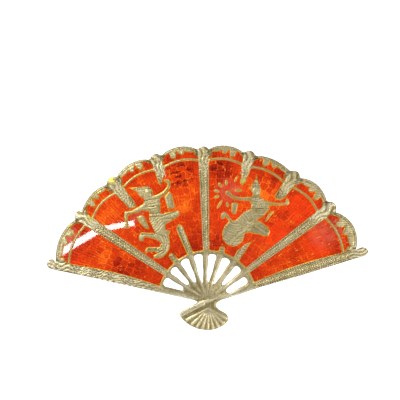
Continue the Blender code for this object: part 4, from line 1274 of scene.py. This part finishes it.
ribStrokes = {
    "runs": {       # stretches of each rib that are metal, as distances from the crossing
        rightRib: ((10.0, 26.4),), centreRib: ((10.0, 27.2),), leftRib: ((10.0, 26.4),),
        2: ((10.2, 12.6), (23.9, 26.8)), 3: ((23.5, 26.8),),
        5: ((10.0, 14.4), (25.0, 26.8)), 6: ((23.0, 26.8),),
    },
    "edge": 0.84, "centre": 0.24,       # rows, as shares of the half width
    "edgeSink": 0.1, "centreSink": 0.095,
    "beads": {
        "Pitch": 0.44, "Length": 0.3, "Width": 0.22,
        "Height": 0.15, "Slant": 0.0, "Jitter": 0.2, "Seed": 1,
    },
    "cuts": {
        "Pitch": 0.5, "Length": 0.46, "Width": 0.2,
        "Height": 0.15, "Slant": 0.8, "Jitter": 0.2, "Seed": 2,
    },
}


def chaseRibs():
    edges, left, right = [], [], []
    edge, centre, sink = ribStrokes["edge"], ribStrokes["centre"], ribStrokes["centreSink"]
    for rib, runs in ribStrokes["runs"].items():
        for start, end in runs:
            if rib in (rightRib, centreRib, leftRib):
                edges += [ribPath(rib, row, start, end, ribStrokes["edgeSink"]) for row in (-edge, edge)]
            left.append(ribPath(rib, centre, start, end, sink))
            right.append(ribPath(rib, -centre, start + 0.2, end, sink))
    cuts = ribStrokes["cuts"]
    return [
        layStrokes("rib_beads", edges, ribStrokes["beads"]),
        layStrokes("rib_left", left, cuts),
        layStrokes("rib_right", right, dict(cuts, Slant=-cuts["Slant"], Seed=3)),
    ]


guardStrokes = {
    "rows": ((-0.62, 0.9), (-0.2, -0.7), (0.25, 0.8), (0.66, -0.8)),       # place and slant
    "fine": {"Pitch": 0.44, "Length": 0.42, "Width": 0.17, "Height": 0.14, "Jitter": 0.25},
    "leaves": {
        "Pitch": 1.05, "Length": 1.5, "Width": 0.26,
        "Height": 0.15, "Slant": 0.38, "Jitter": 0.15, "Seed": 5,
    },
}


def chaseGuards():
    meshes = []
    for row, slant in guardStrokes["rows"]:
        path = ribPath(rightGuard, row, 9.8, 27.2, 0.09 + 0.03 * row * row)
        sizes = dict(guardStrokes["fine"], Slant=slant, Seed=20 + int(row * 10))
        meshes.append(layStrokes("guard_row", [path], sizes))
    paths = [ribPath(leftGuard, -0.35, 10.5, 28.2, 0.13), ribPath(leftGuard, 0.4, 10.0, 28.0, 0.14)]
    meshes.append(layStrokes("guard_leaves", paths, guardStrokes["leaves"]))
    return meshes


headStrokes = {"Pitch": 0.5, "Length": 0.85, "Width": 0.19, "Height": 0.15, "Slant": 0.55, "Jitter": 0.12}


def chaseHeads():
    meshes = []
    for side in (-1, 1):
        paths = [ribPath(rib, side * 0.62, 24.6, 27.9, 0.09) for rib in range(1, leftGuard)]
        sizes = dict(headStrokes, Slant=side * headStrokes["Slant"], Seed=7 + side)
        meshes.append(layStrokes("head_flare", paths, sizes))
    return meshes


rimStrokes = {
    "inset": 0.45, "margin": 3.2, "steps": 24, "sink": 0.1,
    "dots": {
        "Pitch": 0.42, "Length": 0.2, "Width": 0.26,
        "Height": 0.13, "Slant": 0.3, "Jitter": 0.3, "Seed": 9,
    },
}


def chaseRim():
    paths = []
    for lobe, peak in enumerate(leaf["lobePeaks"]):
        start, end = ribAngles[lobe] + rimStrokes["margin"], ribAngles[lobe + 1] - rimStrokes["margin"]
        points = []
        for step in range(rimStrokes["steps"] + 1):
            degrees = start + (end - start) * (step / rimStrokes["steps"])
            valley = valleyRadius(degrees)
            whole = (degrees - ribAngles[lobe]) / (ribAngles[lobe + 1] - ribAngles[lobe])
            rise = math.sin(math.pi * whole) ** leaf["lobeFullness"]
            points.append(polar(valley + (peak - valley) * rise - rimStrokes["inset"], degrees))
        paths.append(pathOn(points, rimStrokes["sink"]))
    return [layStrokes("rim_dots", paths, rimStrokes["dots"])]


dancerStrokes = {
    "sink": 0.05,
    "beads": {
        "Pitch": 0.36, "Length": 0.26, "Width": 0.26,
        "Height": 0.2, "Slant": 0.0, "Jitter": 0.1, "Seed": 11,
    },
    "rows": (       # on necklaces, belts, hems and sashes
        ((-9.8, 16.42), (-7.75, 16.5)), ((-9.4, 15.9), (-8.9, 14.6), (-8.0, 13.4)),
        ((-7.9, 15.9), (-6.2, 16.1), (-4.8, 16.5)),
        ((-7.26, 12.82), (-6.95, 11.6), (-7.0, 10.4), (-7.6, 9.5)),
        ((-10.6, 19.1), (-9.6, 18.75), (-8.5, 19.15)), ((-12.3, 21.5), (-11.0, 21.6), (-9.9, 21.65)),
        ((9.3, 18.5), (10.2, 18.25), (11.3, 18.4)), ((9.3, 17.35), (10.5, 17.1), (11.8, 17.3)),
        ((9.6, 15.7), (11.4, 15.6)), ((4.8, 10.6), (7.0, 12.5), (9.3, 14.45)),
        ((9.35, 21.2), (10.75, 21.15)),
        ((9.9, 21.85), (10.4, 21.85)),
    ),
}


def chaseDancers():
    paths = [pathOn(row, dancerStrokes["sink"]) for row in dancerStrokes["rows"]]
    return [layStrokes("figure_beads", paths, dancerStrokes["beads"])]


chasing = joined("chased_strokes_and_beads",
                 chaseRibs() + chaseGuards() + chaseHeads() + chaseRim() + chaseDancers())
# painted highlight: every bead and stroke is paler, as if catching the light
strokePaintedShine = 0.65
giveAttribute(chasing, "paintedShine", np.full(len(chasing.data.vertices), strokePaintedShine))
print("chasing:", len(chasing.data.polygons), "faces")


# a calm, plain face on each dancer: eyes half way up, nose and mouth at the usual thirds
dancerFaces = {     # plan place, half width and height, lean in degrees
    "kneeling": {"at": (10.02, 20.05), "half": (0.6, 0.8), "turn": 2.0},
    "standing": {"at": (-10.15, 20.72), "half": (0.54, 0.72), "turn": 20.0},
}
faceMesh = {"rings": 34, "spokes": 84, "rootDepth": 0.3, "seat": 0.14, "dome": 0.24, "jaw": 0.2}


def faceRelief(u, v):       # u across and v up the face, each from -1 to 1
    side = np.abs(u)
    browLine = v - 0.3 + 0.25 * (side - 0.4) ** 2
    height = faceMesh["dome"] * np.sqrt(np.clip(1 - u * u - v * v, 0, 1))
    height = height + 0.05 * bump(browLine, 0.07) * bump(side - 0.4, 0.26)
    sockets = bump(np.hypot((side - 0.39) / 1.5, v - 0.06), 0.15)
    lids = bump(np.hypot((side - 0.39) / 1.7, v - 0.04), 0.085)
    height = height - 0.05 * sockets + 0.045 * lids
    nose = bump(u, 0.07 + 0.06 * np.clip(0.1 - v, 0, 1)) * lift(v, -0.42, -0.34) * lift(0.28 - v, 0, 0.3)
    nostrils = bump(np.hypot(side - 0.1, v + 0.34), 0.06)
    height = height + 0.11 * nose + 0.03 * nostrils
    lips = bump(u, 0.26) * (bump(v + 0.54, 0.045) + 1.1 * bump(v + 0.66, 0.055))
    height = height + 0.045 * lips - 0.03 * bump(v + 0.6, 0.025) * bump(u, 0.24)
    chin = bump(np.hypot(u, v + 0.86), 0.14)
    height = height + 0.03 * chin
    lashes = bump(v - 0.035 - 0.05 * (1 - ((side - 0.39) / 0.2) ** 2), 0.03) * bump(side - 0.39, 0.19)
    mouth = bump(v + 0.6, 0.03) * bump(u, 0.22)
    brows = bump(v - 0.33 + 0.25 * (side - 0.4) ** 2, 0.035) * bump(side - 0.4, 0.22)
    return height, np.maximum(np.maximum(0.8 * lashes, 0.9 * mouth), 0.45 * brows)


def calmFace(name):
    place = dancerFaces[name]
    rings, spokes = faceMesh["rings"], faceMesh["spokes"]
    share = np.linspace(0, 1, rings + 1)[1:, None]
    angle = 2 * np.pi * np.arange(spokes)[None] / spokes
    u = np.concatenate([[0.0], (share * np.cos(angle)).ravel()])
    v = np.concatenate([[0.0], (share * np.sin(angle)).ravel()])
    height, shade = faceRelief(u, v)
    turn = math.radians(place["turn"])
    jaw = 1 - faceMesh["jaw"] * np.clip(-v, 0, 1) ** 2
    x, y = u * place["half"][0] * jaw, v * place["half"][1]
    flat = np.stack([
        place["at"][0] + x * math.cos(turn) - y * math.sin(turn),
        place["at"][1] + x * math.sin(turn) + y * math.cos(turn),
    ], 1)
    top = placed(flat, domeTop(flat) - faceMesh["seat"] + height)
    under = placed(flat[-spokes:], domeTop(flat[-spokes:]) - faceMesh["rootDepth"])
    count = len(flat)
    last = count - spokes
    quads = []
    for spoke in range(spokes):
        ahead = (spoke + 1) % spokes
        quads.append((0, 1 + spoke, 1 + ahead))
        for low in range(1, last, spokes):
            quads.append((low + spoke, low + spokes + spoke, low + spokes + ahead, low + ahead))
        quads.append((last + spoke, count + spoke, count + ahead, last + ahead))
    quads.append(tuple(reversed(range(count, count + spokes))))
    obj = newObject("calm_face_" + name, np.vstack([top, under]), quads, 60)
    giveAttribute(obj, "shade", np.concatenate([shade, np.zeros(spokes)]))
    return obj


burnish = {
    "body": colour(200, 184, 138), "cloud": colour(160, 142, 94), "line": colour(70, 56, 28),
    "roughness": 0.44, "grainSize": 5.0, "relief": 0.00003,
}


def burnishedMaterial():
    material, nodes = newMaterial("burnished_gilt")
    plan = planPosition(nodes)
    grain = nodes.noise(plan, burnish["grainSize"], 3, 0.6)
    tint = nodes.mix(nodes.between(grain, 0.35, 0.7, 0.0, 0.35), burnish["body"], burnish["cloud"])
    tint = nodes.mix(nodes.attribute("shade"), tint, burnish["line"])
    normal = nodes.add("ShaderNodeBump", {"Height": grain, "Strength": 0.3, "Distance": burnish["relief"]})
    shader = nodes.add("ShaderNodeBsdfPrincipled", {
        "Base Color": tint, "Roughness": burnish["roughness"], "Normal": normal.outputs[0], "Metallic": 0.9,
    })
    nodes.add("ShaderNodeOutputMaterial", {"Surface": shader.outputs[0]})
    return material


burnishedGilt = burnishedMaterial()
calmFaces = [calmFace(name) for name in dancerFaces]
print("dancers' faces:", sum(len(piece.data.polygons) for piece in calmFaces), "polygons")

# pin work on the back: softened copies of the frame's own pieces
pinWork = {     # finished name: frame piece, body it rides on, finish, slot, width of the soft edges in mm
    "hinge_bracket_filed": ("hinge_bracket", "brooch", "filed", "gilt_silver", 0.08),
    "hinge_rivet_domed": ("hinge_rivet", "brooch", "drawn", "plain_silver", 0.04),
    "pin_drawn": ("pin", "pin", "drawn", "plain_silver", 0.04),
    "catch_body_filed": ("catch_body", "brooch", "filed", "gilt_silver", 0.06),
    "catch_roller_turned": ("catch_roller", "catch_roller", "drawn", "plain_silver", 0.04),
}
silver = {      # colour, roughness, direction of the marks
    "drawn": (colour(206, 203, 196), 0.24, (300.0, 6000.0, 6000.0)),
    "filed": (colour(192, 176, 138), 0.34, (2500.0, 2500.0, 900.0)),
}


def refined(name, node, width, segments=2):
    source = next(item for item in bpy.data.objects if item.name.split(".")[0] == node)
    mesh = source.data.copy()
    mesh.name = name
    shape = bmesh.new()
    shape.from_mesh(mesh)
    bmesh.ops.remove_doubles(shape, verts=shape.verts, dist=2e-6)
    bmesh.ops.dissolve_limit(shape, angle_limit=math.radians(2), verts=shape.verts, edges=shape.edges)
    shape.to_mesh(mesh)
    shape.free()
    obj = bpy.data.objects.new(name, mesh)
    bpy.context.scene.collection.objects.link(obj)
    bevel = obj.modifiers.new("Bevel", "BEVEL")
    bevel.width = width * mm
    bevel.segments = segments
    bevel.limit_method = "ANGLE"
    bevel.angle_limit = math.radians(35)
    graph = bpy.context.evaluated_depsgraph_get()
    made = bpy.data.meshes.new_from_object(obj.evaluated_get(graph))
    obj.modifiers.clear()
    obj.data = made
    made.shade_smooth()
    made.set_sharp_from_angle(angle=math.radians(40))
    return obj


def silverMaterial(name, body, rough, brush):
    material, nodes = newMaterial(name)
    place = nodes.add("ShaderNodeTexCoord").outputs["Object"]
    stretch = nodes.add("ShaderNodeMapping", {"Vector": place, "Scale": brush}).outputs[0]
    marks = nodes.noise(stretch, 1.0, 4, 0.65)
    cloud = nodes.noise(place, 260.0, 3)
    dull = tuple(0.55 * share for share in body[:3]) + (1.0,)
    tint = nodes.mix(nodes.between(cloud, 0.4, 0.75, 0.0, 0.5), body, dull)
    roughness = nodes.between(marks, 0.3, 0.7, rough - 0.06, rough + 0.14)
    normal = nodes.add("ShaderNodeBump", {"Height": marks, "Strength": 0.25, "Distance": 0.00004})
    shader = nodes.add("ShaderNodeBsdfPrincipled", {
        "Base Color": tint, "Roughness": roughness, "Normal": normal.outputs[0], "Metallic": 1.0,
    })
    nodes.add("ShaderNodeOutputMaterial", {"Surface": shader.outputs[0]})
    return material


silverFinishes = {name: silverMaterial(name + "_silver", *look) for name, look in silver.items()}

# hand each piece to the frame
casting.data.materials.append(chasedGilt)
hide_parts("fan_casting")
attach(casting, "brooch")
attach(chasing, "brooch")
for piece in calmFaces:
    piece.data.materials.append(burnishedGilt)
    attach(piece, "brooch")
for name, piece in enamelPieces.items():
    piece.data.materials.append(redGlaze)
    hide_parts(name)
    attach(piece, "brooch")

for name, (node, body, finish, slot, width) in pinWork.items():
    piece = refined(name, node, width)
    piece.data.materials.clear()
    piece.data.materials.append(silverFinishes[finish])
    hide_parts(node)
    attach(piece, body)
print("pin work done")

# table, lights and camera
studio = {
    "aim": (-0.495, 18.87),         # plan point under the camera
    "roll": -2.8,                   # degrees
    "field": 75.0,                  # mm across at the plate
    "lens": 800.0, "sensor": 36.0,
    "tableSize": 900.0, "tableDrop": 40.0,      # low enough for the pin to swing open
    "skySides": 0.92, "skyZenith": 0.07, "tableGlow": 0.8, "tableTone": 0.5,
}


def studioMaterial():
    material, nodes = newMaterial("white_table")
    place = nodes.add("ShaderNodeTexCoord").outputs["Object"]
    cloud = nodes.noise(place, 40.0, 2)
    tone = studio["tableTone"]
    tint = nodes.mix(cloud, (tone, tone, tone, 1.0), (tone + 0.02, tone + 0.02, tone + 0.02, 1.0))
    shader = nodes.add("ShaderNodeBsdfPrincipled", {
        "Base Color": tint, "Roughness": 0.9, "Specular IOR Level": 0.0,
        "Emission Color": (1.0, 1.0, 1.0, 1.0), "Emission Strength": studio["tableGlow"],
    })
    # seen through from below, so that the back of the brooch can be looked at
    clear = nodes.add("ShaderNodeBsdfTransparent")
    under = nodes.add("ShaderNodeNewGeometry").outputs["Backfacing"]
    surface = nodes.add("ShaderNodeMixShader", {0: under, 1: shader.outputs[0], 2: clear.outputs[0]})
    nodes.add("ShaderNodeOutputMaterial", {"Surface": surface.outputs[0]})
    return material


half = studio["tableSize"] / 2 * mm
drop = cadBox[0].z - studio["tableDrop"] * mm
corners = [(-half, -half, drop), (half, -half, drop), (half, half, drop), (-half, half, drop)]
table = newObject("white_table", corners, [(0, 1, 2, 3)], fixNormals=False)
table.data.materials.append(studioMaterial())

cross = plate["crossing"]
aim = Vector((studio["aim"][0] + cross[0], studio["aim"][1] + cross[1], 5.0)) * mm
cameraData = bpy.data.cameras.new("camera")
cameraData.lens = studio["lens"]
cameraData.sensor_width = studio["sensor"]
cameraData.clip_start = 0.01
cameraData.clip_end = 10.0
distance = studio["field"] * studio["lens"] / studio["sensor"] * mm
camera = bpy.data.objects.new("camera", cameraData)
camera.location = aim + Vector((0, 0, distance))
camera.rotation_euler = (0, 0, math.radians(studio["roll"]))
bpy.context.scene.collection.objects.link(camera)
bpy.context.scene.camera = camera


def seenFrom(x, y, height):
    # place of a lamp, at this height over the table, whose mirror image shows at plan point x, y
    point = np.array([[x, y]])
    spot = placed(point, domeTop(point))[0]
    top = plate["domeTop"]
    normal = Vector(((x - top[0]) / plate["domeRadius"], (y - top[1]) / plate["domeRadius"], 1)).normalized()
    toCamera = (camera.location - Vector(spot)).normalized()
    ray = 2 * normal.dot(toCamera) * normal - toCamera
    return Vector(spot) + ray * ((height * mm - spot[2]) / ray.z)


def areaLamp(name, size, power, placeAndTurn):
    data = bpy.data.lights.new(name, "AREA")
    data.shape = "RECTANGLE"
    data.size, data.size_y = size
    data.energy = power
    obj = bpy.data.objects.new(name, data)
    obj.matrix_world = placeAndTurn
    bpy.context.scene.collection.objects.link(obj)


def softbox(name, place, side, power):
    facing = (aim - place).to_track_quat("-Z", "Y").to_matrix().to_4x4()
    areaLamp(name, (side * mm, side * mm), power, Matrix.Translation(place) @ facing)


def mirrored(name, start, end, width, glow, height):
    # lamp whose reflection in the glaze runs between two plan points
    ends = [seenFrom(*start, height), seenFrom(*end, height)]
    middle, span = (ends[0] + ends[1]) / 2, ends[1] - ends[0]
    along = span.normalized()
    down = Vector((aim.x, aim.y, 0.005)) - middle
    down = (down - along * down.dot(along)).normalized()
    turned = Matrix((along, (-down).cross(along), -down)).transposed().to_4x4()
    size = (span.length, width * (1 + 2 * height / plate["domeRadius"]) * mm)
    areaLamp(name, size, glow * math.pi * size[0] * size[1], Matrix.Translation(middle) @ turned)


reflections = {     # plan ends and width of the reflection, glow, height of the lamp
    "window_low": ((-27.2, 10.2), (-19.9, 14.1), 1.3, 30.0, 300),
    "window_high": ((-18.6, 14.4), (-13.0, 15.2), 1.0, 30.0, 300),
    "haze_left": ((-29.0, 11.5), (-24.0, 14.5), 5.0, 1.2, 260),
}
softboxes = {       # place in metres, side in mm, power
    "key": (Vector((-0.42, 0.5, 0.42)), 260, 3.3),
    "fill": (Vector((0.62, -0.25, 0.4)), 300, 1.9),
}
for name, sizes in reflections.items():
    mirrored(name, *sizes)
for name, sizes in softboxes.items():
    softbox(name, *sizes)

world = bpy.data.worlds.new("studio_sky")
bpy.context.scene.world = world
world.use_nodes = True
sky = Nodes(world.node_tree)
towards = sky.add("ShaderNodeTexCoord").outputs["Generated"]
upward = sky.add("ShaderNodeSeparateXYZ", {0: towards}).outputs[2]
strength = sky.between(upward, 0.72, 0.9, studio["skySides"], studio["skyZenith"])
back = sky.add("ShaderNodeBackground", {"Color": (1.0, 1.0, 1.0, 1.0), "Strength": strength})
sky.add("ShaderNodeOutputWorld", {"Surface": back.outputs[0]})
bpy.context.scene.view_settings.view_transform = "Standard"
print("studio ready")
